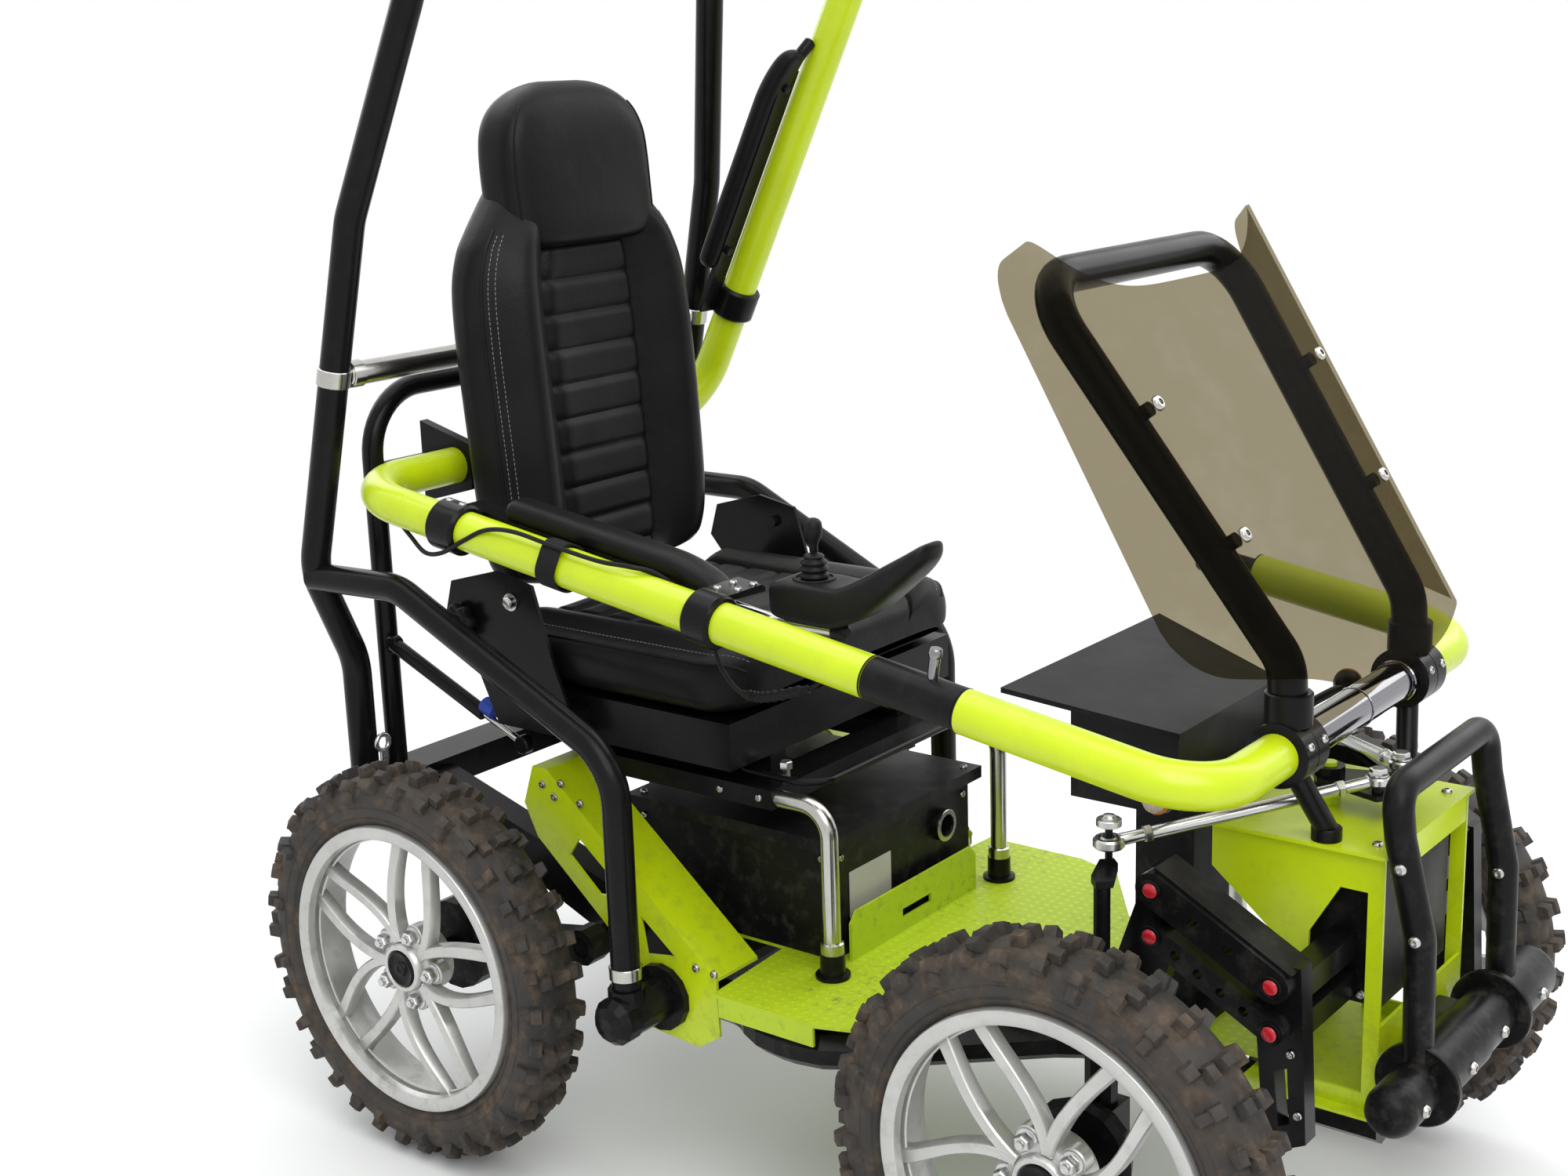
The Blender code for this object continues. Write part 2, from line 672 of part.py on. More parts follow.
def steering_crank():
    """The plate that turns on the nose and pulls both track rods."""
    thickness = 0.006
    outline = [
        (-CRANK_PIN_X - 0.013, CRANK_PIN_Y - 0.004), (-CRANK_PIN_X, CRANK_PIN_Y - 0.014),
        (CRANK_PIN_X, CRANK_PIN_Y - 0.014), (CRANK_PIN_X + 0.013, CRANK_PIN_Y - 0.004),
        (0.020, CRANK_Y + 0.006), (0, CRANK_Y + 0.020), (-0.020, CRANK_Y + 0.006),
    ]
    plate = prism(outline, "Z", CRANK_TOP - thickness, CRANK_TOP)
    boss = cylinder((0, CRANK_Y, CRANK_TOP - 0.016), (0, CRANK_Y, CRANK_TOP + 0.010), 0.017)
    studs = []
    for side in (-1, 1):
        x = side * CRANK_PIN_X
        studs.append(cylinder((x, CRANK_PIN_Y, CRANK_TOP - 0.003),
                              (x, CRANK_PIN_Y, ROD_INNER_Z + EYE_HEIGHT + 0.008), CRANK_PIN_RADIUS, 10))
        studs.append(cylinder((x, CRANK_PIN_Y, CRANK_TOP - 0.003), (x, CRANK_PIN_Y, ROD_INNER_Z - GAP),
                              CRANK_PIN_RADIUS + 0.0015, 10))
    bore = cylinder((0, CRANK_Y, CRANK_TOP - 0.03), (0, CRANK_Y, CRANK_TOP + 0.03), bore_size(0.008))
    body = fused([plate, boss] + studs, [bore])
    finish(body, "steering_crank", "black", (0, CRANK_Y, CRANK_TOP))


# Frame


def spine_tubes():
    """The two black tubes under the floor, with the bars that join them."""
    shapes = []
    for side in (-1, 1):
        path = bent(mirrored([
            (SPINE_REAR_X, MID_TUBE_Y, SPINE_Z), (SPINE_REAR_X, 0.068, SPINE_Z),
            (SPINE_SIDE_X, 0.010, SPINE_Z), (SPINE_SIDE_X, -0.070, SPINE_Z),
            (SPINE_FRONT_X, -0.300, SPINE_Z), (SPINE_FRONT_X, NOSE_FRONT_Y + 0.006, SPINE_Z),
        ], side), 0.090, 2)
        shapes.append(sweep(path, SPINE_RADIUS, 8))
    rest = PLATE_BOTTOM - GAP
    shapes.append(box((-SPINE_SIDE_X, -0.060, SPINE_Z - 0.010), (SPINE_SIDE_X, -0.030, rest)))
    shapes.append(box((-SPINE_FRONT_X, -0.420, SPINE_Z - 0.010), (SPINE_FRONT_X, -0.390, rest)))
    shapes.append(box((-SPINE_FRONT_X, NOSE_FRONT_Y + 0.008, SPINE_Z - 0.012),
                      (SPINE_FRONT_X, NOSE_FRONT_Y + 0.028, SPINE_Z + 0.012)))
    return shapes


def middle_tube():
    """The cross tube whose capped ends stand out behind the floor, with its bolted flanges."""
    middle = (0, MID_TUBE_Y, MID_TUBE_Z)
    cap = MID_CAP_END_X
    tube = cylinder((-cap + 0.03, *middle[1:]), (cap - 0.03, *middle[1:]), MID_TUBE_RADIUS, 14)
    shapes = [tube]
    for side in (-1, 1):
        x = side * LOOP_X
        shapes.append(cylinder((x, MID_TUBE_Y, MID_TUBE_Z), (x, MID_TUBE_Y, LOOP_SEAT_Z), 0.023))
        low = BEAM_PLATE_X + GAP
        high = low + MID_FLANGE_WIDTH
        shapes.append(turned([(low, MID_FLANGE_RADIUS), (high, MID_FLANGE_RADIUS)], middle, side, 14))
        shapes.append(turned([
            (cap - 0.034, MID_CAP_RADIUS), (cap - 0.014, MID_CAP_RADIUS),
            (cap - 0.004, MID_CAP_RADIUS * 0.72), (cap, MID_CAP_RADIUS * 0.3),
        ], middle, side, 14))
    return shapes


def rear_frame():
    """Rails from the middle tube back to the cross bar that carries the cage and the hinge frame."""
    shapes = []
    for side in (-1, 1):
        low = side * (RAIL_X - RAIL_WIDTH / 2)
        high = side * (RAIL_X + RAIL_WIDTH / 2)
        top = REAR_BAR_TOP
        outline = [
            (MID_TUBE_Y - 0.020, MID_TUBE_Z - 0.020), (SWING_Y + 0.030, SWING_Z - 0.040),
            (REAR_BAR_Y, top - REAR_BAR_HEIGHT), (REAR_BAR_Y, top - 0.002),
            (SWING_Y, SWING_Z + 0.030), (MID_TUBE_Y - 0.020, MID_TUBE_Z + 0.024),
        ]
        shapes.append(prism(outline, "X", low, high))
        pin_end = SWING_ARM_X + SWING_ARM_WIDTH / 2 - 0.001
        shapes.append(cylinder((side * (RAIL_X + 0.01), SWING_Y, SWING_Z), (side * pin_end, SWING_Y, SWING_Z),
                               SWING_PIN_RADIUS))
        shapes.append(cylinder((side * (RAIL_X + 0.01), SWING_Y, SWING_Z),
                               (side * (SWING_ARM_X - SWING_ARM_WIDTH / 2 - GAP), SWING_Y, SWING_Z), 0.020))
    half = REAR_BAR_HALF
    depth = REAR_BAR_DEPTH / 2
    shapes.append(box((-half, REAR_BAR_Y - depth, REAR_BAR_TOP - REAR_BAR_HEIGHT),
                      (half, REAR_BAR_Y + depth, REAR_BAR_TOP)))
    return shapes


def chassis_frame():
    frame = fused(middle_tube() + spine_tubes() + rear_frame())
    finish(frame, "chassis_frame", "black")


def footplate():
    """The lime tread plate that the rider's feet stand on, with its side flanges and a slotted riser."""
    rear_y = 0.330
    side_y = 0.070
    half = [
        (0.150, rear_y), (0.150, side_y + 0.012), (PLATE_HALF, side_y), (PLATE_HALF, -0.078),
        (0.282, -0.146), (0.168, -0.226), (0.146, -0.281), (0.092, -0.301), (0.092, -0.530),
    ]
    outline = half + [(-x, y) for x, y in reversed(half)]
    plate = prism(outline, "Z", PLATE_BOTTOM, PLATE_TOP)
    shapes = [plate]
    for side in (-1, 1):
        edge = side * PLATE_HALF
        shapes.append(box_between(edge, edge - side * PLATE_THICKNESS, (-0.078, 0.062),
                                  (PLATE_TOP - PLATE_FLANGE, PLATE_TOP - 0.001)))
    riser = prism([(-0.139, PLATE_BOTTOM + 0.001), (0.139, PLATE_BOTTOM + 0.001), (0.139, 0.348),
                   (0.127, 0.362), (-0.127, 0.362), (-0.139, 0.348)], "Y", -0.014, -0.010)
    slot = prism([(-0.030, 0.318), (0.034, 0.318), (0.034, 0.330), (-0.030, 0.330)], "Y", -0.03, 0.01)
    body = fused(shapes + [riser], [slot])
    finish(body, "footplate", "lime")


def side_beam(side):
    """A folded lime beam that slopes up from the floor to the back of the seat's carrier."""
    outline = [
        (0.374, 0.5215), (0.350, 0.5215), (0.086, 0.3045), (0.084, 0.229), (0.118, 0.207),
        (0.205, 0.214), (0.222, 0.300), (0.372, 0.428), (0.392, 0.470),
    ]
    plate = prism(outline, "X", side * (BEAM_PLATE_X - BEAM_SHEET), side * BEAM_PLATE_X)
    top = prism([(0.374, 0.5215), (0.350, 0.5215), (0.086, 0.3045), (0.086, 0.3003),
                 (0.092, 0.3003), (0.352, 0.5170), (0.374, 0.5170)],
                "X", side * BEAM_INNER_X, side * (BEAM_PLATE_X - 0.001))
    tube_hole = cylinder((side * 0.25, MID_TUBE_Y, MID_TUBE_Z), (side * 0.30, MID_TUBE_Y, MID_TUBE_Z),
                         bore_size(MID_TUBE_RADIUS, 14, GAP), 14)
    lightening = [
        prism(corners, "X", side * (BEAM_PLATE_X - 0.02), side * (BEAM_PLATE_X + 0.02))
        for corners in (
            [(0.150, 0.318), (0.196, 0.310), (0.204, 0.360)],
            [(0.222, 0.378), (0.270, 0.372), (0.318, 0.414), (0.300, 0.440)],
        )
    ]
    body = fused([plate, top], [tube_hole] + lightening)
    finish(body, side_name("side_beam", side), "lime")


def seat_frame():
    """The black carrier under the seat, bolted between the lime beams."""
    low, high = SEAT_FRAME_TOP - SEAT_FRAME_HEIGHT, SEAT_FRAME_TOP
    half = SEAT_FRAME_HALF
    front, rear = SEAT_FRAME_FRONT_Y, SEAT_FRAME_REAR_Y
    frame = box((-half, front, low), (half, rear, high))
    opening = box((-0.090, front + 0.050, low - 0.01), (0.090, rear - 0.060, high + 0.01))
    finish(fused([frame], [opening]), "seat_frame", "black")


def seat_post(side):
    """A silver tube from the carrier's front edge, bent down to a black collar on the floor."""
    x = side * SEAT_POST_X
    z = SEAT_FRAME_TOP - SEAT_FRAME_HEIGHT / 2
    path = bent([(x, SEAT_FRAME_FRONT_Y - GAP, z), (x, SEAT_POST_Y, z), (x, SEAT_POST_Y, PLATE_TOP + GAP)],
                0.045, 4)
    foot = cylinder((x, SEAT_POST_Y, PLATE_TOP + GAP), (x, SEAT_POST_Y, PLATE_TOP + COLLAR_HEIGHT),
                    COLLAR_RADIUS)
    finish(fused([sweep(path, SEAT_POST_RADIUS), foot]), side_name("seat_post", side), "silver")


def battery():
    """The battery box and its lid, with the charging socket's round body on the front."""
    front, rear = BATTERY_FRONT_Y, BATTERY_REAR_Y
    case = box((-BATTERY_HALF, front, PLATE_TOP + GAP), (BATTERY_HALF, rear, BATTERY_TOP))
    socket = cylinder((0.082, front + 0.004, 0.405), (0.082, front - 0.010, 0.405), 0.021)
    mouth = cylinder((0.082, front + 0.010, 0.405), (0.082, front - 0.020, 0.405), 0.015)
    finish(fused([case, socket], [mouth]), "battery_box", "black")
    lid_low = BATTERY_TOP + GAP
    lid = box((-LID_HALF, front - LID_LIP, lid_low), (LID_HALF, rear, lid_low + LID_THICKNESS))
    finish(lid, "battery_lid", "black")


def on_cage(z):
    """The X and Y of the cage's tube between its waist and its shoulder."""
    share = (z - CAGE_WAIST[2]) / (CAGE_SHOULDER[2] - CAGE_WAIST[2])
    x = CAGE_WAIST[0] + share * (CAGE_SHOULDER[0] - CAGE_WAIST[0])
    y = CAGE_WAIST[1] + share * (CAGE_SHOULDER[1] - CAGE_WAIST[1])
    return x, y


def roll_cage():
    """The tall hoop over the seat and the loops that run from it down to the middle tube."""
    foot_y = REAR_BAR_Y + 0.004
    foot = (CAGE_FOOT_X, foot_y, REAR_BAR_TOP + GAP)
    half = [foot, (CAGE_FOOT_X, foot_y, 0.622), CAGE_WAIST, CAGE_SHOULDER, CAGE_NECK, CAGE_TOP]
    corners = mirrored(half, -1) + mirrored(reversed(half), 1)
    shapes = [sweep(bent(corners, CAGE_BEND, 2), CAGE_RADIUS, 10)]
    for side in (-1, 1):
        x = side * CAGE_FOOT_X
        shapes.append(cylinder((x, foot_y, foot[2]), (x, foot_y, foot[2] + 0.012), 0.0215))
        path = bent(mirrored([
            (*on_cage(LOOP_TOP_Z), LOOP_TOP_Z), (LOOP_X + 0.005, LOOP_SHOULDER_Y, LOOP_TOP_Z + 0.002),
            (LOOP_X, LOOP_Y, LOOP_KNEE_Z - 0.020), (LOOP_X, LOOP_Y, LOOP_SEAT_Z + GAP),
        ], side), 0.085)
        shapes.append(sweep(path, LOOP_RADIUS, 10))
    finish(fused(shapes), "roll_cage", "black")


def cage_cross_tube():
    """The galvanised tube behind the backrest, between the cage's two sides."""
    x, y = on_cage(CROSS_TUBE_Z)
    end = x - CAGE_RADIUS - RUNNING
    tube = cylinder((-end, y, CROSS_TUBE_Z), (end, y, CROSS_TUBE_Z), CROSS_TUBE_RADIUS, 16)
    finish(tube, "cage_cross_tube", "zinc")


def bar_hinge_frame():
    """A hoop behind the seat with the lugs and pins that both side bars swing on."""
    foot_z = REAR_BAR_TOP + GAP
    x, y, top = BACK_HOOP_X, BACK_HOOP_Y, BACK_HOOP_TOP
    path = bent([(-x, y, foot_z), (-x, y, top), (x, y, top), (x, y, foot_z)], BACK_HOOP_BEND)
    shapes = [
        sweep(path, BACK_HOOP_RADIUS),
        cylinder((-x, y, HINGE_Z), (x, y, HINGE_Z), BACK_HOOP_RADIUS * 0.9, 10),
    ]
    high = BAR_INNER_X - GAP
    low = high - LUG_THICKNESS
    reach = BAR_RADIUS + 0.006
    for side in (-1, 1):
        outline = [
            (HINGE_Y - reach, HINGE_Z - reach), (y + 0.006, HINGE_Z - LUG_HEIGHT / 2),
            (y + 0.006, HINGE_Z + LUG_HEIGHT / 2), (HINGE_Y - reach, HINGE_Z + reach),
        ]
        shapes.append(prism(outline, "X", side * low, side * high))
        shapes.append(cylinder((side * (high - 0.004), HINGE_Y, HINGE_Z),
                               (side * (BAR_INNER_X + HINGE_PIN_LENGTH), HINGE_Y, HINGE_Z), HINGE_PIN_RADIUS))
    finish(fused(shapes), "bar_hinge_frame", "black")


# Side bars


def on_bar(side, distance, lift=0.0, x=BAR_X):
    """A point beside a lowered bar: its distance forward of the hinge and its lift above the axis."""
    y = HINGE_Y - distance * math.cos(BAR_SLOPE) - lift * math.sin(BAR_SLOPE)
    z = HINGE_Z - distance * math.sin(BAR_SLOPE) + lift * math.cos(BAR_SLOPE)
    return Vector((side * x, y, z))


def bar_section(side, distance, corners):
    """Points across a bar at one distance. Each corner is (x, lift)."""
    return [on_bar(side, distance, lift, x) for x, lift in corners]


def side_bar(side):
    path = bent([(side * BAR_INNER_X, HINGE_Y, HINGE_Z), (side * BAR_X, HINGE_Y, HINGE_Z),
                 on_bar(side, BAR_LENGTH)], BAR_BEND, 5)
    bore_end = BAR_INNER_X + HINGE_PIN_LENGTH + 0.001
    bore = cylinder((side * (BAR_INNER_X - 0.01), HINGE_Y, HINGE_Z), (side * bore_end, HINGE_Y, HINGE_Z),
                    bore_size(HINGE_PIN_RADIUS))
    bar = fused([sweep(path, BAR_RADIUS, 16)], [bore])
    return finish(bar, side_name("side_bar", side), "lime", (side * BAR_INNER_X, HINGE_Y, HINGE_Z))


def latch_at():
    """The latch pin's distance forward of the hinge."""
    return BAR_LENGTH + SLEEVE_LENGTH - 0.040


def latch_hole(side, low):
    """The cutter of the latch pin's hole, from a little way above the bar's axis."""
    return cylinder(on_bar(side, latch_at(), low), on_bar(side, latch_at(), 0.04), bore_size(LATCH_RADIUS))


def bar_sleeve(side):
    """The black saddle on the bar's end. It is open below, so it lifts off the front bar's spigot."""
    start, end = BAR_LENGTH + GAP, BAR_LENGTH + SLEEVE_LENGTH
    body = cylinder(on_bar(side, start), on_bar(side, end), BAR_RADIUS, 16)
    slot_start = end + 0.001 - SPIGOT_LENGTH - 0.004
    half = SLEEVE_SLOT
    channel = cylinder(on_bar(side, slot_start), on_bar(side, end + 0.01), half)
    mouth = half * 0.94
    corners = [(BAR_X - mouth, 0.002), (BAR_X + mouth, 0.002), (BAR_X + mouth, -0.03), (BAR_X - mouth, -0.03)]
    slot = loft([bar_section(side, distance, corners) for distance in (slot_start + 0.001, end + 0.012)])
    sleeve = fused([body], [channel, slot, latch_hole(side, 0.01)])
    return finish(sleeve, side_name("bar_sleeve", side), "black", on_bar(side, start))


def latch_pin(side):
    """The silver pin that drops through the sleeve into the spigot."""
    foot = 0.004
    pin = cylinder(on_bar(side, latch_at(), foot), on_bar(side, latch_at(), foot + LATCH_HEIGHT),
                   LATCH_RADIUS, 10)
    head = cylinder(on_bar(side, latch_at(), foot + LATCH_HEIGHT - 0.010),
                    on_bar(side, latch_at(), foot + LATCH_HEIGHT), LATCH_RADIUS * 1.2, 10)
    return finish(fused([pin, head]), side_name("latch_pin", side), "silver", on_bar(side, latch_at(), foot))


def arm_pad(side):
    """A long padded armrest inside the bar, held by a ring clamp at its rear end."""
    clamp_at, pad_start, pad_end = 0.188, 0.235, 0.575
    centre_x, centre_lift = 0.287, 0.026
    stations = [(0.0, 0.45, 0.4), (0.02, 0.85, 0.8), (0.08, 1.0, 1.0), (0.50, 1.0, 1.0),
                (0.86, 1.0, 1.0), (0.96, 0.9, 0.85), (1.0, 0.5, 0.45)]
    rings = []
    for share, wide, tall in stations:
        distance = pad_start + share * (pad_end - pad_start)
        corners = []
        for index in range(10):
            turn = 2 * math.pi * index / 10
            across = math.copysign(abs(math.cos(turn)) ** 0.7, math.cos(turn))
            rise = math.copysign(abs(math.sin(turn)) ** 0.7, math.sin(turn))
            corners.append((centre_x + 0.022 * wide * across, centre_lift + 0.015 * tall * rise))
        rings.append(bar_section(side, distance, corners))
    pad = loft(rings)
    arm = loft([bar_section(side, distance, [(0.279, 0.012), (0.309, 0.012), (0.309, 0.032), (0.279, 0.032)])
                for distance in (clamp_at - 0.018, pad_start + 0.060)])
    tie = loft([bar_section(side, distance, [(0.290, 0.012), (0.318, 0.004), (0.322, 0.024), (0.290, 0.032)])
                for distance in (clamp_at - 0.016, clamp_at + 0.016)])
    hole = cylinder(on_bar(side, clamp_at - 0.05), on_bar(side, clamp_at + 0.05),
                    bore_size(BAR_RADIUS, 16, GAP), 16)
    ring = cylinder(on_bar(side, clamp_at - 0.022), on_bar(side, clamp_at + 0.022), BAR_RADIUS + 0.0075, 16)
    body = fused([ring, tie, arm, pad], [hole])
    return finish(body, side_name("arm_pad", side), "plastic", on_bar(side, clamp_at))


def front_bar_start():
    """The front bar's distance forward of the hinge, a millimetre clear of the sleeve."""
    return BAR_LENGTH + SLEEVE_LENGTH + 0.001


def front_bar(side):
    """The fixed lime bar at the front. Its black spigot carries the lowered side bar."""
    start = front_bar_start()
    path = bent([
        on_bar(side, start), (side * (BAR_X - 0.004), CLAMP_Y, CLAMP_Z),
        (side * (CLAMP_X + CLAMP_WIDTH / 2 + GAP), CLAMP_Y, CLAMP_Z),
    ], FRONT_BEND, 5)
    spigot = cylinder(on_bar(side, start + 0.010), on_bar(side, start - SPIGOT_LENGTH), SPIGOT_RADIUS)
    body = fused([sweep(path, BAR_RADIUS, 16), spigot], [latch_hole(side, 0.002)])
    finish(body, side_name("front_bar", side), "lime")


# Front hoop and windscreen


def on_screen(x, height, depth=0.0):
    """A point of the leaning screen frame: its height along the tubes and its depth behind their axes."""
    y = CLAMP_Y + 0.005 + height * math.sin(SCREEN_LEAN) + depth * math.cos(SCREEN_LEAN)
    z = SCREEN_KNEE_Z + height * math.cos(SCREEN_LEAN) - depth * math.sin(SCREEN_LEAN)
    return Vector((x, y, z))


def screen_length():
    """The leaning tubes' length from the knee to the top bar."""
    return (SCREEN_TOP_Z - SCREEN_KNEE_Z) / math.cos(SCREEN_LEAN)


def screen_frame():
    """The windscreen's black tube with the two clamps that hold the front hoop, and their feet."""
    seat_z = CLAMP_Z + CLAMP_RADIUS - 0.006
    half = [(SCREEN_FOOT_X, CLAMP_Y, seat_z), (SCREEN_FOOT_X, CLAMP_Y + 0.003, SCREEN_KNEE_Z),
            tuple(on_screen(SCREEN_TOP_X, screen_length()))]
    corners = mirrored(half, -1) + mirrored(reversed(half), 1)
    shapes = [sweep(bent(corners, 0.060), SCREEN_TUBE_RADIUS)]
    for side in (-1, 1):
        low = side * (CLAMP_X - CLAMP_WIDTH / 2)
        high = side * (CLAMP_X + CLAMP_WIDTH / 2)
        shapes.append(cylinder((low, CLAMP_Y, CLAMP_Z), (high, CLAMP_Y, CLAMP_Z), CLAMP_RADIUS, 14))
        socket = (side * SCREEN_FOOT_X, CLAMP_Y)
        shapes.append(cylinder((*socket, seat_z), (*socket, CLAMP_Z + 0.062), SCREEN_TUBE_RADIUS + 0.0045))
        foot = (side * (NOSE_HALF - 0.019), CLAMP_Y - 0.022)
        shapes.append(cylinder((*foot, NOSE_TOP + GAP), (*foot, NOSE_TOP + 0.014), 0.016, 10))
        strut_top = (side * CLAMP_X, CLAMP_Y, CLAMP_Z - 0.010)
        shapes.append(cylinder((*foot, NOSE_TOP + 0.011), strut_top, 0.012, 8))
        for height in SCREEN_SCREWS:
            x = side * (SCREEN_FOOT_X + (SCREEN_TOP_X - SCREEN_FOOT_X) * height / screen_length())
            end = -(SCREEN_TUBE_RADIUS + SCREEN_STANDOFF - GAP)
            shapes.append(cylinder(on_screen(x, height, -0.010), on_screen(x, height, end), 0.008, 8))
    finish(fused(shapes), "screen_frame", "black")


def windscreen():
    """The smoky sheet in front of its frame, with a flap folded back along each side."""
    top, low = SCREEN_HEIGHT, -0.030
    face = SCREEN_TUBE_RADIUS + SCREEN_STANDOFF
    columns = [
        # Share of the half width, share of the flap, bottom rise and top fall
        (1.0, 1.0, 0.120, 0.055), (1.0, 0.85, 0.085, 0.018), (1.0, 0.45, 0.030, 0.004), (1.0, 0.08, 0.0, 0.0),
        (0.97, 0.0, -0.004, 0.004), (0.80, 0.0, -0.020, 0.020), (0.45, 0.0, -0.030, 0.036),
        (0.0, 0.0, -0.034, 0.042),
    ]
    both = [(-1, column) for column in columns] + [(1, column) for column in reversed(columns[:-1])]
    rings = []
    rows = 6
    for row in range(rows + 1):
        front, back = [], []
        for side, (wide, flap, rise, fall) in both:
            bottom_height = low + rise
            height = bottom_height + (top - fall - bottom_height) * row / rows
            share = (height - low) / (top - low)
            fold = SCREEN_FOLD_LOW + share * (SCREEN_FOLD_TOP - SCREEN_FOLD_LOW)
            outward = (0.078 + share * (0.024 - 0.078)) * flap
            backward = (SCREEN_FLAP_LOW + share * (SCREEN_FLAP_TOP - SCREEN_FLAP_LOW)) * flap
            x = side * (fold * wide + outward)
            sheet = SCREEN_SHEET / 2
            lean_in = sheet * 0.8 * (flap > 0)
            front.append(on_screen(x + side * lean_in, height, backward - face - 2 * sheet + lean_in * 0.6))
            back.append(on_screen(x - side * lean_in, height, backward - face + lean_in * 0.6))
        rings.append(front + back[::-1])
    finish(loft(rings), "windscreen", "smoke")


def cross_handle():
    """The dark chrome tube between the two clamps."""
    end = CLAMP_X - CLAMP_WIDTH / 2 - GAP
    tube = cylinder((-end, CLAMP_Y, CLAMP_Z), (end, CLAMP_Y, CLAMP_Z), HANDLE_RADIUS, 16)
    finish(tube, "cross_handle", "chrome")


def nose_plates():
    """The lime sheet-metal nose: a top plate with a lip, two open cheeks, a front plate and a floor."""
    sheet = NOSE_SHEET
    top = box((-NOSE_HALF, NOSE_FRONT_Y - sheet, NOSE_TOP - sheet), (NOSE_HALF, NOSE_REAR_Y, NOSE_TOP))
    lip_half = HOOP_X - HOOP_RADIUS - 0.005
    lip = box((-lip_half, NOSE_FRONT_Y - sheet, NOSE_TOP - 0.030),
              (lip_half, NOSE_FRONT_Y + 0.001, NOSE_TOP - 0.001))
    floor = box((-0.132, NOSE_FRONT_Y, NOSE_FLOOR_TOP - sheet), (0.132, -0.520, NOSE_FLOOR_TOP))
    shapes = [top, lip, floor]
    cuts = []
    for side in (-1, 1):
        outline = [
            (NOSE_FRONT_Y, NOSE_FLOOR_TOP - 0.002), (-0.560, NOSE_FLOOR_TOP - 0.002), (-0.575, 0.440),
            (NOSE_REAR_Y, 0.520), (NOSE_REAR_Y, NOSE_TOP - 0.002), (NOSE_FRONT_Y, NOSE_TOP - 0.002),
        ]
        shapes.append(prism(outline, "X", side * (NOSE_CHEEK_X - sheet), side * NOSE_CHEEK_X))
        window_front = NOSE_FRONT_Y + 0.017
        window_top = NOSE_TOP - 0.045
        window = [(window_front, 0.302), (-0.579, 0.302), (-0.592, 0.430), (-0.592, window_top - 0.057),
                  (-0.625, window_top), (window_front, window_top)]
        cuts.append(prism(window, "X", side * (NOSE_CHEEK_X - 0.02), side * (NOSE_CHEEK_X + 0.02)))
    shapes.append(box((-NOSE_CHEEK_X + 0.001, NOSE_FRONT_Y, NOSE_FLOOR_TOP - 0.002),
                      (NOSE_CHEEK_X - 0.001, NOSE_FRONT_Y + sheet, 0.380)))
    pivot = cylinder((0, CRANK_Y, NOSE_TOP - 0.002), (0, CRANK_Y, CRANK_TOP - 0.016 - GAP), 0.013)
    pin = cylinder((0, CRANK_Y, NOSE_TOP), (0, CRANK_Y, CRANK_TOP + 0.014), 0.008)
    finish(fused(shapes + [pivot, pin], cuts), "nose_plates", "lime")


def drive_box():
    """The black box with the steering actuator, hung under the nose's top plate."""
    half = DRIVE_HALF
    outline = [
        (NOSE_FRONT_Y + 0.010, DRIVE_BOTTOM), (-0.590, DRIVE_BOTTOM), (-0.572, DRIVE_BOTTOM + 0.060),
        (-0.500, DRIVE_TOP - 0.012), (-0.500, DRIVE_TOP), (NOSE_FRONT_Y + 0.010, DRIVE_TOP),
    ]
    finish(prism(outline, "X", -half, half), "drive_box", "black")


def front_bumper():
    """The cross tube in front of the nose and the hoop that is welded to it."""
    y, z = BUMPER_Y, BUMPER_Z
    tube, ring = BUMPER_TUBE_RADIUS, BUMPER_FLANGE_RADIUS
    cuff, plug = BUMPER_COLLAR_RADIUS, BUMPER_PLUG_RADIUS
    end = BUMPER_END_X
    profile = [
        (-end, plug * 0.35), (-end + 0.006, plug * 0.80), (-end + 0.022, plug), (-0.130, plug),
        (-0.1299, ring), (-0.120, ring), (-0.1199, cuff), (0.0, cuff), (0.0001, tube), (0.080, tube),
        (0.0801, ring), (0.090, ring), (0.0901, cuff), (0.200, cuff), (end - 0.006, cuff * 0.8),
        (end, cuff * 0.4),
    ]
    shapes = [turned(profile, (0, y, z), 1, 12)]
    half = [(HOOP_X, y + 0.003, z), (HOOP_X, y + 0.006, 0.490), (HOOP_X + 0.003, y + 0.030, 0.595),
            (HOOP_X + 0.002, y + 0.036, HOOP_TOP_Z)]
    corners = mirrored(half, -1) + mirrored(reversed(half), 1)
    shapes.append(sweep(bent(corners, HOOP_BEND, 2), HOOP_RADIUS, 8))
    shapes.append(box((-0.050, y + 0.010, z - 0.020), (0.050, NOSE_FRONT_Y - GAP, z + 0.020)))
    finish(fused(shapes), "front_bumper", "black")


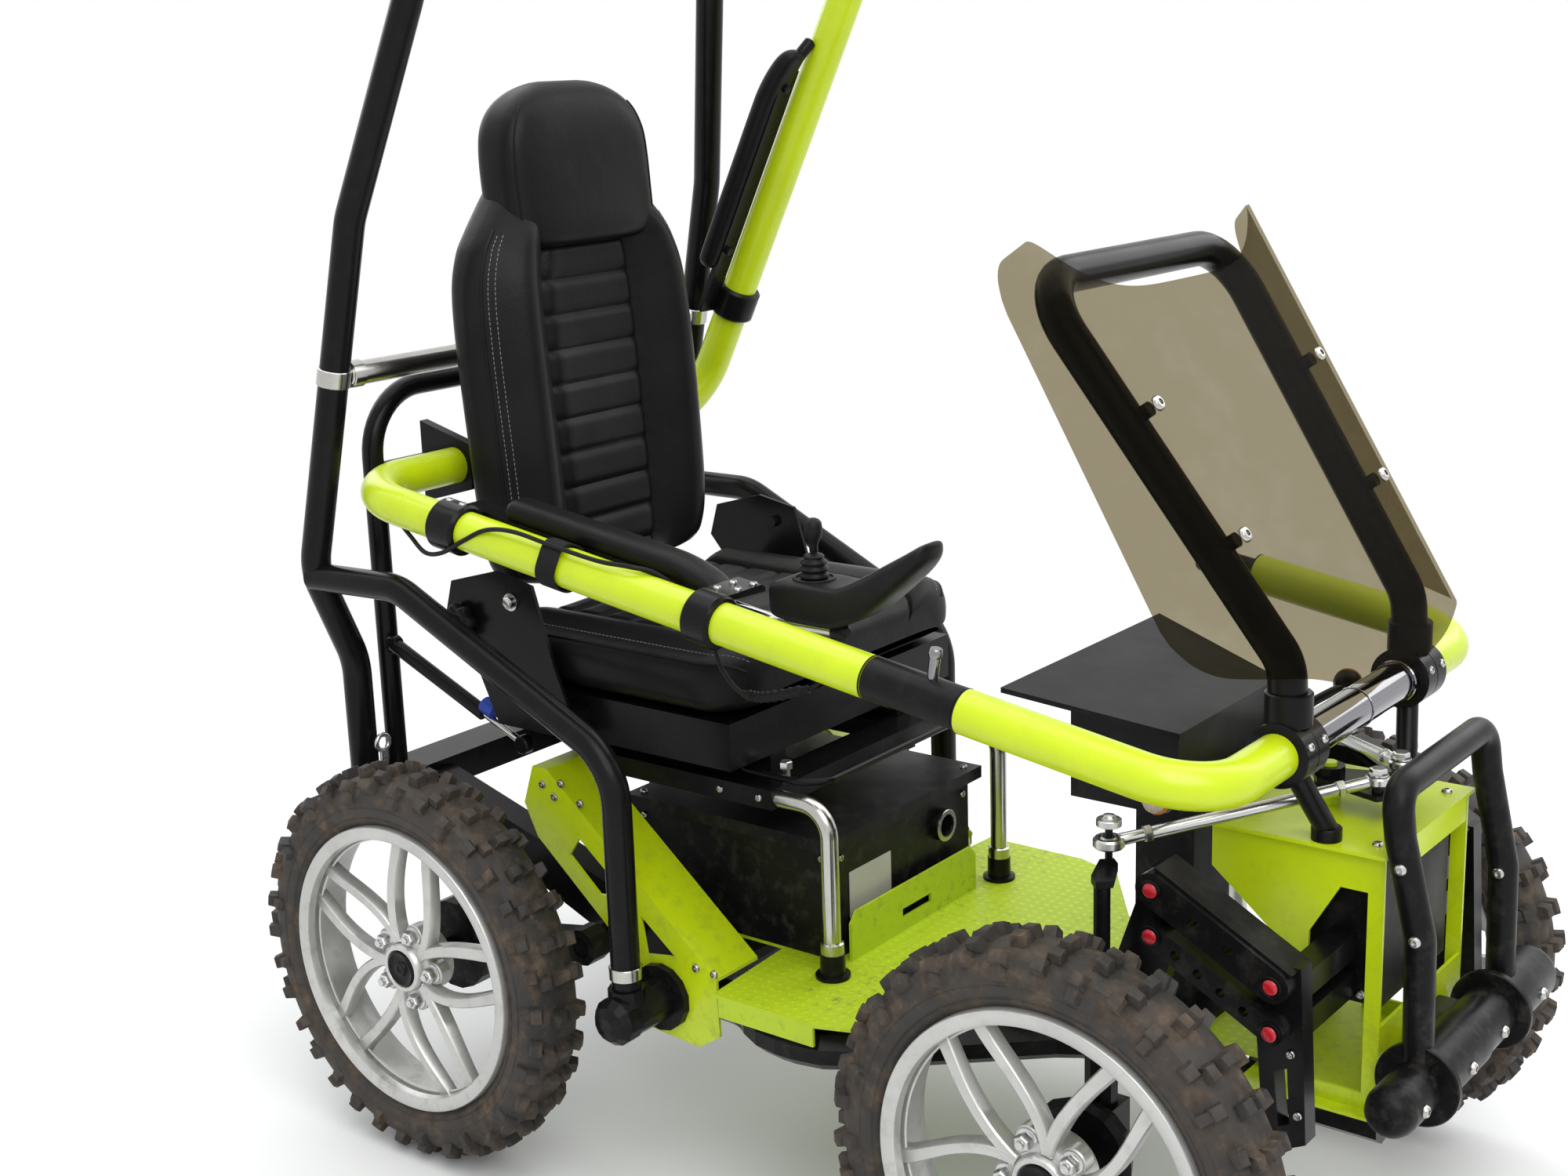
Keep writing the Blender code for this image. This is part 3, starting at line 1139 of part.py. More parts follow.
def front_tray():
    """The black tray in front of the rider, on the column that stands on the floor's neck."""
    def edge(half, y, z):
        return [(-half, y, z), (half, y, z), (half, y, z - TRAY_THICKNESS), (-half, y, z - TRAY_THICKNESS)]
    rear_edge = edge(TRAY_REAR_HALF, TRAY_REAR_Y, TRAY_REAR_Z)
    top = loft([rear_edge, edge(TRAY_FRONT_HALF, TRAY_FRONT_Y, TRAY_FRONT_Z)])
    housing = box((-0.105, TRAY_FRONT_Y + 0.010, 0.560), (0.105, -0.300, TRAY_FRONT_Z - 0.001))
    column = box((-0.045, TRAY_FRONT_Y + 0.020, PLATE_TOP + GAP), (0.045, -0.350, 0.570))
    foot = box((-0.070, TRAY_FRONT_Y - 0.006, PLATE_TOP + GAP), (0.070, -0.330, PLATE_TOP + 0.008))
    finish(fused([top, housing, column, foot]), "front_tray", "black")


# Seat


def seat_pan():
    """The seat's base on two runners, with the recline plates and the pins that the back turns on."""
    low = SEAT_FRAME_TOP + 0.028
    shapes = [box((-0.234, 0.088, low), (0.234, 0.440, CUSHION_BOTTOM - GAP))]
    for side in (-1, 1):
        shapes.append(box_between(side * 0.120, side * 0.150, (0.094, 0.430),
                                  (SEAT_FRAME_TOP + GAP, low + 0.002)))
        plate_low = RECLINE_PLATE_X - RECLINE_PLATE / 2
        plate_high = RECLINE_PLATE_X + RECLINE_PLATE / 2
        outline = [
            (0.300, low + 0.010), (0.336, 0.650), (0.368, 0.752), (0.430, 0.764), (0.510, 0.742),
            (0.524, 0.696), (0.476, 0.640), (0.440, low + 0.010),
        ]
        shapes.append(prism(outline, "X", side * plate_low, side * plate_high))
        shapes.append(box_between(side * 0.226, side * (plate_low + 0.002), (0.310, 0.430),
                                  (low + 0.012, low + 0.045)))
        shapes.append(cylinder((side * (plate_low - 0.0075), RECLINE_Y, RECLINE_Z),
                               (side * (plate_high + 0.006), RECLINE_Y, RECLINE_Z), 0.008))
    shapes.append(cylinder((-RECLINE_PLATE_X, KNOB_Y, KNOB_Z), (-(RECLINE_PLATE_X + 0.012), KNOB_Y, KNOB_Z),
                           0.005, 12))
    finish(fused(shapes), "seat_pan", "black", (0, CUSHION_REAR_Y, low))


def cushion_ring(y, half, bottom, top, crown, squeeze):
    """One section across the seat cushion, with drawn-in sides and a seam beside each bolster."""
    points = []
    height = top - bottom
    for index in range(17):
        share = -1 + 2 * index / 16
        edge = abs(share)
        fall = height * 0.55 * max(0.0, (edge - 0.80) / 0.20) ** 2.2
        seam = 0.009 * math.exp(-((edge - 0.66) / 0.035) ** 2)
        bolster = 0.012 * math.exp(-((edge - 0.80) / 0.13) ** 2)
        rise = crown * (1 - edge ** 2)
        points.append((half * share, y, top + rise + bolster - fall - seam))
    inset = half * squeeze
    sides = [(half * 0.985, y, bottom + height * 0.25), (inset, y, bottom), (0, y, bottom),
             (-inset, y, bottom), (-half * 0.985, y, bottom + height * 0.25)]
    return points + sides


def seat_cushion():
    """The padded seat: crowned, drawn in at its sides, with a rolled front and cross channels."""
    length = CUSHION_REAR_Y - CUSHION_FRONT_Y
    rings = []
    steps = 22
    for index in range(steps + 1):
        share = index / steps
        y = CUSHION_FRONT_Y + length * share
        nose = max(0.0, 1 - share / 0.16)
        tail = max(0.0, (share - 0.93) / 0.07)
        channel = 0.005 * abs(math.cos(math.pi * (share - 0.16) / 0.14)) ** 8 * (share > 0.16)
        top = CUSHION_TOP - 0.022 - 0.040 * nose ** 2.2 - 0.020 * tail ** 2 - channel
        bottom = CUSHION_BOTTOM + 0.012 * nose ** 3
        half = CUSHION_HALF - 0.022 * nose ** 2.5 - 0.010 * tail ** 2
        rings.append(cushion_ring(y, half, bottom, top, 0.014, 0.92))
    finish(loft(rings), "seat_cushion", "leather")


BACK_STATIONS = [
    # Height share, half width, forward bulge of the bolsters, thickness share, forward shift
    (0.000, 0.165, 0.010, 0.75, 0.0), (0.030, 0.190, 0.022, 0.95, 0.0), (0.120, 0.202, 0.034, 1.0, 0.0),
    (0.300, 0.205, 0.038, 1.0, 0.0), (0.480, 0.206, 0.038, 1.0, 0.0), (0.600, 0.200, 0.034, 1.0, 0.0),
    (0.680, 0.182, 0.026, 1.0, 0.002), (0.735, 0.152, 0.012, 1.05, 0.010), (0.770, 0.137, 0.004, 1.12, 0.020),
    (0.820, 0.134, 0.000, 1.20, 0.026), (0.900, 0.134, 0.000, 1.20, 0.026), (0.960, 0.118, 0.000, 1.05, 0.022),
    (0.990, 0.088, 0.000, 0.75, 0.012), (1.000, 0.055, 0.000, 0.45, 0.004),
]


def back_section(share):
    """The backrest's half width, bolster bulge, thickness and forward shift at one share of its height."""
    shares = [row[0] for row in BACK_STATIONS]
    return [float(np.interp(share, shares, [row[column] for row in BACK_STATIONS])) for column in (1, 2, 3, 4)]


def backrest_ring(z, share, channel):
    """One section across the backrest: a channelled centre between two bolsters."""
    half, bulge, thick, shift = back_section(share)
    points = []
    front = BACK_FRONT_Y + BACK_LEAN * share - shift
    depth = BACK_DEPTH * thick
    centre = 0.42
    spans = 16
    for index in range(spans + 1):
        across = -1 + 2 * index / spans
        edge = abs(across)
        bolster = bulge * math.exp(-((edge - 0.66) / 0.20) ** 2)
        corner = depth * 0.62 * max(0.0, (edge - 0.78) / 0.22) ** 2
        seam = 0.008 * math.exp(-((edge - centre) / 0.05) ** 2) * (bulge > 0.012)
        dip = channel * (edge < centre)
        points.append((half * across, front - bolster + corner + seam + dip, z))
    rear = front + depth
    back = [(half * 0.97, rear - depth * 0.22, z), (half * 0.80, rear, z),
            (-half * 0.80, rear, z), (-half * 0.97, rear - depth * 0.22, z)]
    return points + back


def seat_back():
    """The tall back with its channelled centre, bolsters and headrest, on two hinge lugs."""
    height = BACK_TOP - BACK_BOTTOM
    channel_low, channel_high, channels = 1 / 28, 19 / 28, 9
    rings = []
    steps = 28
    for index in range(steps + 1):
        share = index / steps
        pitch = (share - channel_low) / (channel_high - channel_low) * channels
        inside = channel_low < share < channel_high
        channel = 0.009 * abs(math.cos(math.pi * pitch)) ** 5 if inside else 0.0
        rings.append(backrest_ring(BACK_BOTTOM + height * share, share, channel))
    shapes = [loft(rings)]
    cuts = []
    lug_high = RECLINE_PLATE_X - RECLINE_PLATE / 2 - GAP
    lug_low = lug_high - 0.006
    for side in (-1, 1):
        outline = [
            (RECLINE_Y - 0.018, RECLINE_Z - 0.012), (RECLINE_Y - 0.018, RECLINE_Z + 0.014),
            (RECLINE_Y + 0.010, RECLINE_Z + 0.026), (0.530, 0.830), (0.545, 0.780), (0.520, 0.735),
            (RECLINE_Y + 0.010, RECLINE_Z - 0.020),
        ]
        shapes.append(prism(outline, "X", side * lug_low, side * lug_high))
        shapes.append(box_between(side * 0.170, side * (lug_high - 0.002), (0.500, 0.526), (0.752, 0.800)))
        ends = [(side * x, RECLINE_Y, RECLINE_Z) for x in (0.24, 0.28)]
        cuts.append(cylinder(*ends, bore_size(0.008)))
    finish(fused(shapes, cuts), "seat_back", "leather", (0, RECLINE_Y, RECLINE_Z))


def recline_knob():
    """The lobed knob that clamps the backrest."""
    low = RECLINE_PLATE_X + RECLINE_PLATE / 2 + GAP
    lobes, sides = 6, 24
    profile = []
    for index in range(sides):
        turn = 2 * math.pi * index / sides
        radius = 0.021 + 0.0035 * math.cos(lobes * turn)
        profile.append((KNOB_Y + radius * math.cos(turn), KNOB_Z + radius * math.sin(turn)))
    body = prism(profile, "X", -low, -(low + 0.020))
    bore_end = RECLINE_PLATE_X + 0.013
    bore = cylinder((-(low - 0.01), KNOB_Y, KNOB_Z), (-bore_end, KNOB_Y, KNOB_Z), bore_size(0.005))
    finish(fused([body], [bore]), "recline_knob", "plastic", (-low, KNOB_Y, KNOB_Z))


def seat_lever():
    """The bent wire under the seat's front edge that frees the runners."""
    z = SEAT_FRAME_TOP + 0.0105
    half = [(0.150 + GAP, 0.120, z), (0.178, 0.120, z), (0.180, 0.030, z), (0.158, 0.0, z)]
    path = bent(mirrored(half, -1) + mirrored(reversed(half), 1), 0.020, 2)
    finish(sweep(path, 0.0045, 6), "seat_lever", "black", (0, 0.120, z))


# Joystick


def turned_z(profile, x, y, sides=12):
    """A solid turned about a vertical axis. The profile lists (z, radius) from the bottom up."""
    across, other = Vector((1, 0, 0)), Vector((0, 1, 0))
    return loft([ring_points(Vector((x, y, z)), across, other, radius, sides) for z, radius in profile])


STICK_PIVOT_Z = JOYSTICK_TOP + 0.006


def joystick_box():
    """The joystick's housing and palm rest, on an arm from a clamp round the right bar."""
    x, y, top = -JOYSTICK_X, JOYSTICK_Y, JOYSTICK_TOP
    clamp = JOYSTICK_CLAMP_AT
    ring = cylinder(on_bar(-1, clamp - 0.020), on_bar(-1, clamp + 0.020), BAR_RADIUS + 0.0075, 16)
    hole = cylinder(on_bar(-1, clamp - 0.05), on_bar(-1, clamp + 0.05), bore_size(BAR_RADIUS, 16, GAP), 16)
    start = on_bar(-1, clamp, 0.012, BAR_X - 0.026)
    elbow = Vector((x - 0.012, start.y - 0.020, top - 0.030))
    arm = sweep(bent([start, elbow, (x, y - 0.010, top - 0.030)], 0.030, 3), 0.008, 10)
    outline = [(y + 0.042, top - 0.042), (y + 0.036, top - 0.012), (y + 0.020, top), (y - 0.022, top),
               (y - 0.040, top - 0.010), (y - 0.040, top - 0.046)]
    body = prism(outline, "X", x - 0.036, x + 0.036)
    rest = prism([(y - 0.030, top - 0.044), (y - 0.086, top - 0.030), (y - 0.162, top + 0.042),
                  (y - 0.160, top + 0.054), (y - 0.150, top + 0.055), (y - 0.080, top - 0.008),
                  (y - 0.030, top - 0.014)], "X", x - 0.033, x + 0.033)
    well = cylinder((x, y, top - 0.008), (x, y, top + 0.02), 0.021)
    joined = fused([ring, arm, body, rest], [hole, well])
    post = cylinder((x, y, top - 0.012), (x, y, STICK_PIVOT_Z - 0.012), 0.002, 8)
    finish(fused([joined, post]), "joystick_box", "plastic", (x, y, top))


def joystick_boot():
    """The bellows, which tips sideways with the stick."""
    z = STICK_PIVOT_Z
    profile = [(z - 0.0117, 0.002), (z - 0.0105, 0.005), (z - 0.006, 0.014), (z + 0.004, 0.017),
               (z + 0.009, 0.0125), (z + 0.013, 0.0150), (z + 0.017, 0.0105), (z + 0.0205, 0.0118),
               (z + 0.0228, 0.007),
               (z + 0.0238, 0.003)]
    finish(turned_z(profile, -JOYSTICK_X, JOYSTICK_Y), "joystick_boot", "plastic",
           (-JOYSTICK_X, JOYSTICK_Y, z))


def joystick_stick():
    """The stick with its rounded top."""
    z = STICK_PIVOT_Z
    profile = [(z + 0.0245, 0.0045), (z + 0.040, 0.0045), (z + 0.044, 0.010), (z + 0.052, 0.0115),
               (z + 0.060, 0.0085), (z + 0.063, 0.004)]
    finish(turned_z(profile, -JOYSTICK_X, JOYSTICK_Y), "joystick_stick", "plastic",
           (-JOYSTICK_X, JOYSTICK_Y, z))


def raise_bar(side, pieces):
    """Swings one side bar up, with all that it carries, about an empty on its hinge."""
    pivot = bpy.data.objects.new(side_name("bar_pivot", side), None)
    bpy.context.scene.collection.objects.link(pivot)
    pivot.location = (side * BAR_INNER_X, HINGE_Y, HINGE_Z)
    bpy.context.view_layer.update()
    for piece in pieces:
        piece.parent = pivot
        piece.matrix_parent_inverse = pivot.matrix_world.inverted()
    pivot.rotation_euler.x = -BAR_RAISED


def main():
    clear_scene()
    chassis_frame()
    footplate()
    battery()
    seat_frame()
    roll_cage()
    cage_cross_tube()
    bar_hinge_frame()
    nose_plates()
    drive_box()
    front_bumper()
    front_tray()
    screen_frame()
    windscreen()
    cross_handle()
    steering_crank()
    for side in (-1, 1):
        wheel("rear", side, REAR_AXLE_Y)
        wheel("front", side, FRONT_AXLE_Y)
        rear_arm(side)
        front_bracket(side)
        link("upper_arm", side, LINK_UPPER_FRONT_Z, 0.018, "black")
        link("lower_link", side, LINK_LOWER_FRONT_Z, 0.013, "black")
        upright(side)
        knuckle(side)
        track_rod(side)
        side_beam(side)
        seat_post(side)
        front_bar(side)
        pieces = [side_bar(side), bar_sleeve(side), latch_pin(side), arm_pad(side)]
        if side > 0:
            raise_bar(side, pieces)
    seat_pan()
    seat_cushion()
    seat_back()
    recline_knob()
    seat_lever()
    joystick_box()
    joystick_boot()
    joystick_stick()


main()
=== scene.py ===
import math
import random

import bmesh
import bpy
from mathutils import Matrix, Vector


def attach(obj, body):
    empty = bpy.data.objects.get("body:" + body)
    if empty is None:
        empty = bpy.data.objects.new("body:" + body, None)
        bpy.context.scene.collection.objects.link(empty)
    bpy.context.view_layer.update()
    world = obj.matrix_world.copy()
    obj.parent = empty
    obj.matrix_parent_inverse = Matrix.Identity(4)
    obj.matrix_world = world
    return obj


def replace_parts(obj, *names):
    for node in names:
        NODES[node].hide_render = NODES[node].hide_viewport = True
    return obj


# The scooter faces -Y and its right side is -X. Sizes are in metres.

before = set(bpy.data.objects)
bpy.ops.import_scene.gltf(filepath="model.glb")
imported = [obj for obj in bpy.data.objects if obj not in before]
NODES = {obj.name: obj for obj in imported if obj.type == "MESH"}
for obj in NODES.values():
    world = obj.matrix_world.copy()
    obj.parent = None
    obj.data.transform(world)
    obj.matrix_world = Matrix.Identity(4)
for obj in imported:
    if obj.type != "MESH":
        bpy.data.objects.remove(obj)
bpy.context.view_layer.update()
SIDES = ((-1, "right"), (1, "left"))
random.seed(7)

# Camera
CAMERA_PLACE = (-2.0528, -1.4349, 1.3756)
CAMERA_YAW = 0.6673
CAMERA_PITCH = 0.2475
CAMERA_ROLL = -0.0341
CAMERA_LENS = 48.32
CAMERA_SENSOR = 36.0

# Sizes shared with the solids
TYRE_RADIUS = 0.264
TRACK_HALF = 0.378
REAR_AXLE_Y = 0.5
FRONT_AXLE_Y = -0.441
BAR_RADIUS = 0.02415
BAR_X = 0.338
HINGE_Y = 0.606
HINGE_Z = 0.864
BAR_SLOPE = math.radians(8.68)
BAR_RAISED = math.radians(71.8)
BAR_LENGTH = 0.812
CROSS_Y = -0.582
CROSS_Z = 0.68
SLEEVE_LENGTH = 0.114
# How far a seam between two lengths of a bar stands proud, and half its width
SEAM = (0.0004, 0.001)


def add_object(name, data):
    """A new object in the scene."""
    thing = bpy.data.objects.new(name, data)
    bpy.context.scene.collection.objects.link(thing)
    return thing


def add_camera():
    """The camera: its yaw and pitch aim it, and its roll tips the horizon."""
    ahead = Vector((math.cos(CAMERA_YAW) * math.cos(CAMERA_PITCH),
                    math.sin(CAMERA_YAW) * math.cos(CAMERA_PITCH), -math.sin(CAMERA_PITCH)))
    level = ahead.cross(Vector((0, 0, 1))).normalized()
    above = level.cross(ahead)
    right = math.cos(CAMERA_ROLL) * level + math.sin(CAMERA_ROLL) * above
    up = -math.sin(CAMERA_ROLL) * level + math.cos(CAMERA_ROLL) * above
    data = bpy.data.cameras.new("camera")
    data.lens = CAMERA_LENS
    data.sensor_width = CAMERA_SENSOR
    data.clip_end = 60
    camera = add_object("camera", data)
    turn = Matrix((right, up, -ahead)).transposed().to_4x4()
    camera.matrix_world = Matrix.Translation(Vector(CAMERA_PLACE)) @ turn
    bpy.context.scene.camera = camera


# Materials


def add_node(tree, kind, inputs=(), **settings):
    """A new node with its settings, and a value or a link for each named input."""
    node = tree.nodes.new(kind)
    for key, value in settings.items():
        setattr(node, key, value)
    for socket, value in dict(inputs).items():
        if isinstance(value, bpy.types.NodeSocket):
            tree.links.new(value, node.inputs[socket])
        else:
            node.inputs[socket].default_value = value
    return node


def mix_shaders(tree, output, share, first, second):
    """Ends a tree in a mix of two shaders."""
    mix = add_node(tree, "ShaderNodeMixShader", {0: share, 1: first, 2: second})
    tree.links.new(mix.outputs[0], tree.nodes[output].inputs["Surface"])


def seen_rays(tree):
    """1 for what is seen, straight or through glass or in a gloss, and 0 for what only lights."""
    path = add_node(tree, "ShaderNodeLightPath").outputs
    seen = path["Is Camera Ray"]
    for kind in ("Is Transmission Ray", "Is Glossy Ray"):
        seen = add_node(tree, "ShaderNodeMath", {0: seen, 1: path[kind]}, operation="MAXIMUM").outputs[0]
    return seen


class Nodes:
    """A short way to add and join the nodes of one material."""

    def __init__(self, name):
        self.material = bpy.data.materials.new(name)
        self.material.use_nodes = True
        self.tree = self.material.node_tree
        self.shader = self.tree.nodes["Principled BSDF"]
        self.place = self.add("ShaderNodeTexCoord").outputs["Object"]

    def add(self, kind, inputs=(), **settings):
        return add_node(self.tree, kind, inputs, **settings)

    def link(self, output, socket):
        self.tree.links.new(output, self.shader.inputs[socket])

    def set(self, **values):
        for socket, value in values.items():
            self.shader.inputs[socket.replace("_", " ")].default_value = value

    def noise(self, scale, detail=3.0, place=None, roughness=0.5):
        """Fractal noise from about 0 to 1."""
        inputs = {"Vector": place or self.place, "Scale": scale, "Detail": detail, "Roughness": roughness}
        return self.add("ShaderNodeTexNoise", inputs).outputs["Fac"]

    def cells(self, scale):
        """The distance to the nearest of many scattered points."""
        inputs = {"Vector": self.place, "Scale": scale}
        return self.add("ShaderNodeTexVoronoi", inputs).outputs["Distance"]

    def remap(self, value, low, high, to_low=0.0, to_high=1.0):
        """A value scaled from one range to another and held inside it."""
        inputs = {"Value": value, "From Min": low, "From Max": high, "To Min": to_low, "To Max": to_high}
        return self.add("ShaderNodeMapRange", inputs, clamp=True).outputs["Result"]

    def maths(self, operation, first, second=0.0):
        return self.add("ShaderNodeMath", {0: first, 1: second}, operation=operation).outputs[0]

    def times(self, first, second):
        return self.maths("MULTIPLY", first, second)

    def blend(self, share, first, second):
        """A colour between two others."""
        first, second = [(*value, 1.0) if isinstance(value, tuple) else value for value in (first, second)]
        return self.add("ShaderNodeMix", {"Factor": share, 6: first, 7: second}, data_type="RGBA").outputs[2]

    def height(self):
        return self.add("ShaderNodeSeparateXYZ", {"Vector": self.place}).outputs["Z"]

    def bump(self, value, strength, distance, below=None):
        """Raises the surface by a value, on top of an earlier bump where one is given."""
        inputs = {"Height": value, "Strength": strength, "Distance": distance}
        if below is not None:
            inputs["Normal"] = below
        normal = self.add("ShaderNodeBump", inputs).outputs["Normal"]
        self.link(normal, "Normal")
        return normal


MUD = (0.115, 0.078, 0.048)
DUST = (0.3, 0.26, 0.2)


def coated(name, colour, roughness, metallic=0.0, grain=(900, 0.12), dirt=0.25, dirt_top=0.4, mottle=0.1,
           soil=MUD, coat=0.0):
    """A painted, powder-coated or plated surface with fine grain, and dirt that thins out upwards."""
    nodes = Nodes(name)
    shade = tuple(channel * (1 - mottle * 2) for channel in colour)
    base = nodes.blend(nodes.remap(nodes.noise(7, 5), 0.35, 0.65), shade, colour)
    specks = nodes.remap(nodes.noise(46, 6, roughness=0.7), 0.5, 0.66)
    low = nodes.remap(nodes.height(), 0.04, dirt_top, 1.0, 0.12)
    share = nodes.times(nodes.times(specks, low), dirt)
    nodes.link(nodes.blend(share, base, soil), "Base Color")
    rough = nodes.remap(nodes.noise(19, 4), 0.3, 0.7, roughness * 0.85, roughness * 1.2)
    nodes.link(nodes.maths("MAXIMUM", rough, nodes.times(share, 0.9)), "Roughness")
    gloss = 0.14 if max(colour) < 0.02 else 0.4
    nodes.set(Metallic=metallic, Coat_Weight=coat, Coat_Roughness=0.2, Specular_IOR_Level=gloss)
    scale, strength = grain
    nodes.bump(nodes.noise(scale, 2), strength, 0.0004)
    return nodes.material


def tyre_rubber():
    """Black rubber with dry brown mud, thick between the knobs and on the tread."""
    nodes = Nodes("tyre_rubber")
    lumps = nodes.noise(24, 8, roughness=0.65)
    fine = nodes.noise(160, 6, roughness=0.7)
    share = nodes.remap(nodes.maths("ADD", lumps, nodes.times(fine, 0.35)), 0.62, 0.86)
    damp = nodes.remap(nodes.noise(60, 5), 0.35, 0.65)
    mud = nodes.blend(damp, (0.034, 0.023, 0.015), (0.118, 0.082, 0.052))
    patches = nodes.remap(nodes.noise(11, 3), 0.4, 0.6)
    worn = nodes.blend(patches, (0.012, 0.011, 0.01), (0.028, 0.023, 0.019))
    nodes.link(nodes.blend(share, worn, mud), "Base Color")
    nodes.link(nodes.remap(share, 0.0, 1.0, 0.62, 0.95), "Roughness")
    nodes.bump(fine, 0.55, 0.0012, nodes.bump(lumps, 0.55, 0.004))
    return nodes.material


def leather():
    """Black upholstery leather: pebbled grain, soft creases and worn, slightly glossier patches."""
    nodes = Nodes("leather")
    worn = nodes.remap(nodes.noise(9, 4), 0.4, 0.65)
    nodes.link(nodes.blend(worn, (0.004, 0.004, 0.0046), (0.008, 0.0078, 0.008)), "Base Color")
    nodes.link(nodes.remap(worn, 0.0, 1.0, 0.44, 0.33), "Roughness")
    nodes.set(Specular_IOR_Level=0.13)
    creases = nodes.bump(nodes.noise(14, 5, roughness=0.6), 0.35, 0.0035)
    nodes.bump(nodes.cells(420), 0.16, 0.0006, creases)
    return nodes.material


def brushed(name, colour, roughness, streak=(4, 4, 300), dirt=0.1):
    """Bare metal with fine streaks along one axis and a little grime."""
    nodes = Nodes(name)
    stretched = nodes.add("ShaderNodeMapping", {"Vector": nodes.place, "Scale": streak}).outputs["Vector"]
    lines = nodes.noise(6, 6, stretched, 0.7)
    grime = nodes.times(nodes.remap(nodes.noise(35, 6), 0.48, 0.7), dirt)
    dark = tuple(channel * 0.72 for channel in colour)
    base = nodes.blend(nodes.remap(lines, 0.3, 0.7), dark, colour)
    nodes.link(nodes.blend(grime, base, MUD), "Base Color")
    nodes.link(nodes.remap(lines, 0.2, 0.8, roughness * 0.75, roughness * 1.3), "Roughness")
    nodes.set(Metallic=1.0)
    nodes.bump(lines, 0.05, 0.0003)
    return nodes.material


def tread_plate(name, colour, pitch=0.01):
    """Lime paint over a raised diamond tread, scuffed and dusty, with painted shade on the flat ground between
    the diamonds.
    """
    nodes = Nodes(name)
    bars = []
    for turn in (45, -45):
        turned_place = nodes.add("ShaderNodeMapping", {
            "Vector": nodes.place, "Rotation": (0, 0, math.radians(turn)), "Scale": (1 / pitch,) * 3})
        parts = nodes.add("ShaderNodeSeparateXYZ", {"Vector": turned_place.outputs["Vector"]}).outputs
        column, row = [nodes.maths("FLOOR", parts[axis]) for axis in "XY"]
        odd = nodes.maths("PINGPONG", nodes.maths("ADD", column, row), 1.0)
        wanted = odd if turn > 0 else nodes.maths("SUBTRACT", 1.0, odd)
        inside = wanted
        for axis, near, far in (("X", 0.1, 0.17), ("Y", 0.36, 0.46)):
            middle = nodes.maths("SUBTRACT", nodes.maths("FRACT", parts[axis]), 0.5)
            inside = nodes.times(inside, nodes.remap(nodes.maths("ABSOLUTE", middle), near, far, 1.0, 0.0))
        bars.append(inside)
    raised = nodes.maths("MAXIMUM", *bars)
    specks = nodes.remap(nodes.noise(70, 6, roughness=0.75), 0.52, 0.66)
    patches = nodes.remap(nodes.noise(9, 4), 0.38, 0.7)
    share = nodes.times(nodes.times(specks, patches), 0.8)
    # The flat ground between the raised diamonds is painted 14% darker than their tops: painted shade in the
    # recesses.
    shade = tuple(channel * 0.86 for channel in colour)
    nodes.link(nodes.blend(share, nodes.blend(raised, shade, colour), MUD), "Base Color")
    nodes.link(nodes.remap(raised, 0.0, 1.0, 0.5, 0.34), "Roughness")
    nodes.bump(raised, 0.45, 0.0009)
    return nodes.material


def smoke_sheet():
    """Smoke-tinted clear sheet: see-through, with a gloss on its outer side and faint smears."""
    nodes = Nodes("smoke_sheet")
    smear = nodes.remap(nodes.noise(7, 6, roughness=0.75), 0.5, 0.8)
    tint = nodes.blend(smear, (0.56, 0.525, 0.425), (0.615, 0.585, 0.495))
    clear = nodes.add("ShaderNodeBsdfTransparent", {"Color": tint}).outputs[0]
    nodes.set(Base_Color=(0.05, 0.045, 0.03, 1))
    nodes.link(nodes.remap(smear, 0.0, 1.0, 0.3, 0.4), "Roughness")
    facing = nodes.add("ShaderNodeLayerWeight", {"Blend": 0.25}).outputs["Facing"]
    outer = nodes.maths("SUBTRACT", 1.0, nodes.add("ShaderNodeNewGeometry").outputs["Backfacing"])
    share = nodes.times(nodes.remap(facing, 0.0, 1.0, 0.03, 0.06), outer)
    mix_shaders(nodes.tree, "Material Output", share, clear, nodes.shader.outputs[0])
    return nodes.material


def clear_lens(name, colour):
    """A ribbed see-through lens."""
    nodes = Nodes(name)
    ribs = nodes.cells(420)
    dark = tuple(channel * 0.7 for channel in colour)
    nodes.link(nodes.blend(nodes.remap(ribs, 0.1, 0.6), dark, colour), "Base Color")
    nodes.set(Transmission_Weight=0.55, Roughness=0.12, IOR=1.3)
    nodes.bump(ribs, 0.4, 0.0008)
    return nodes.material


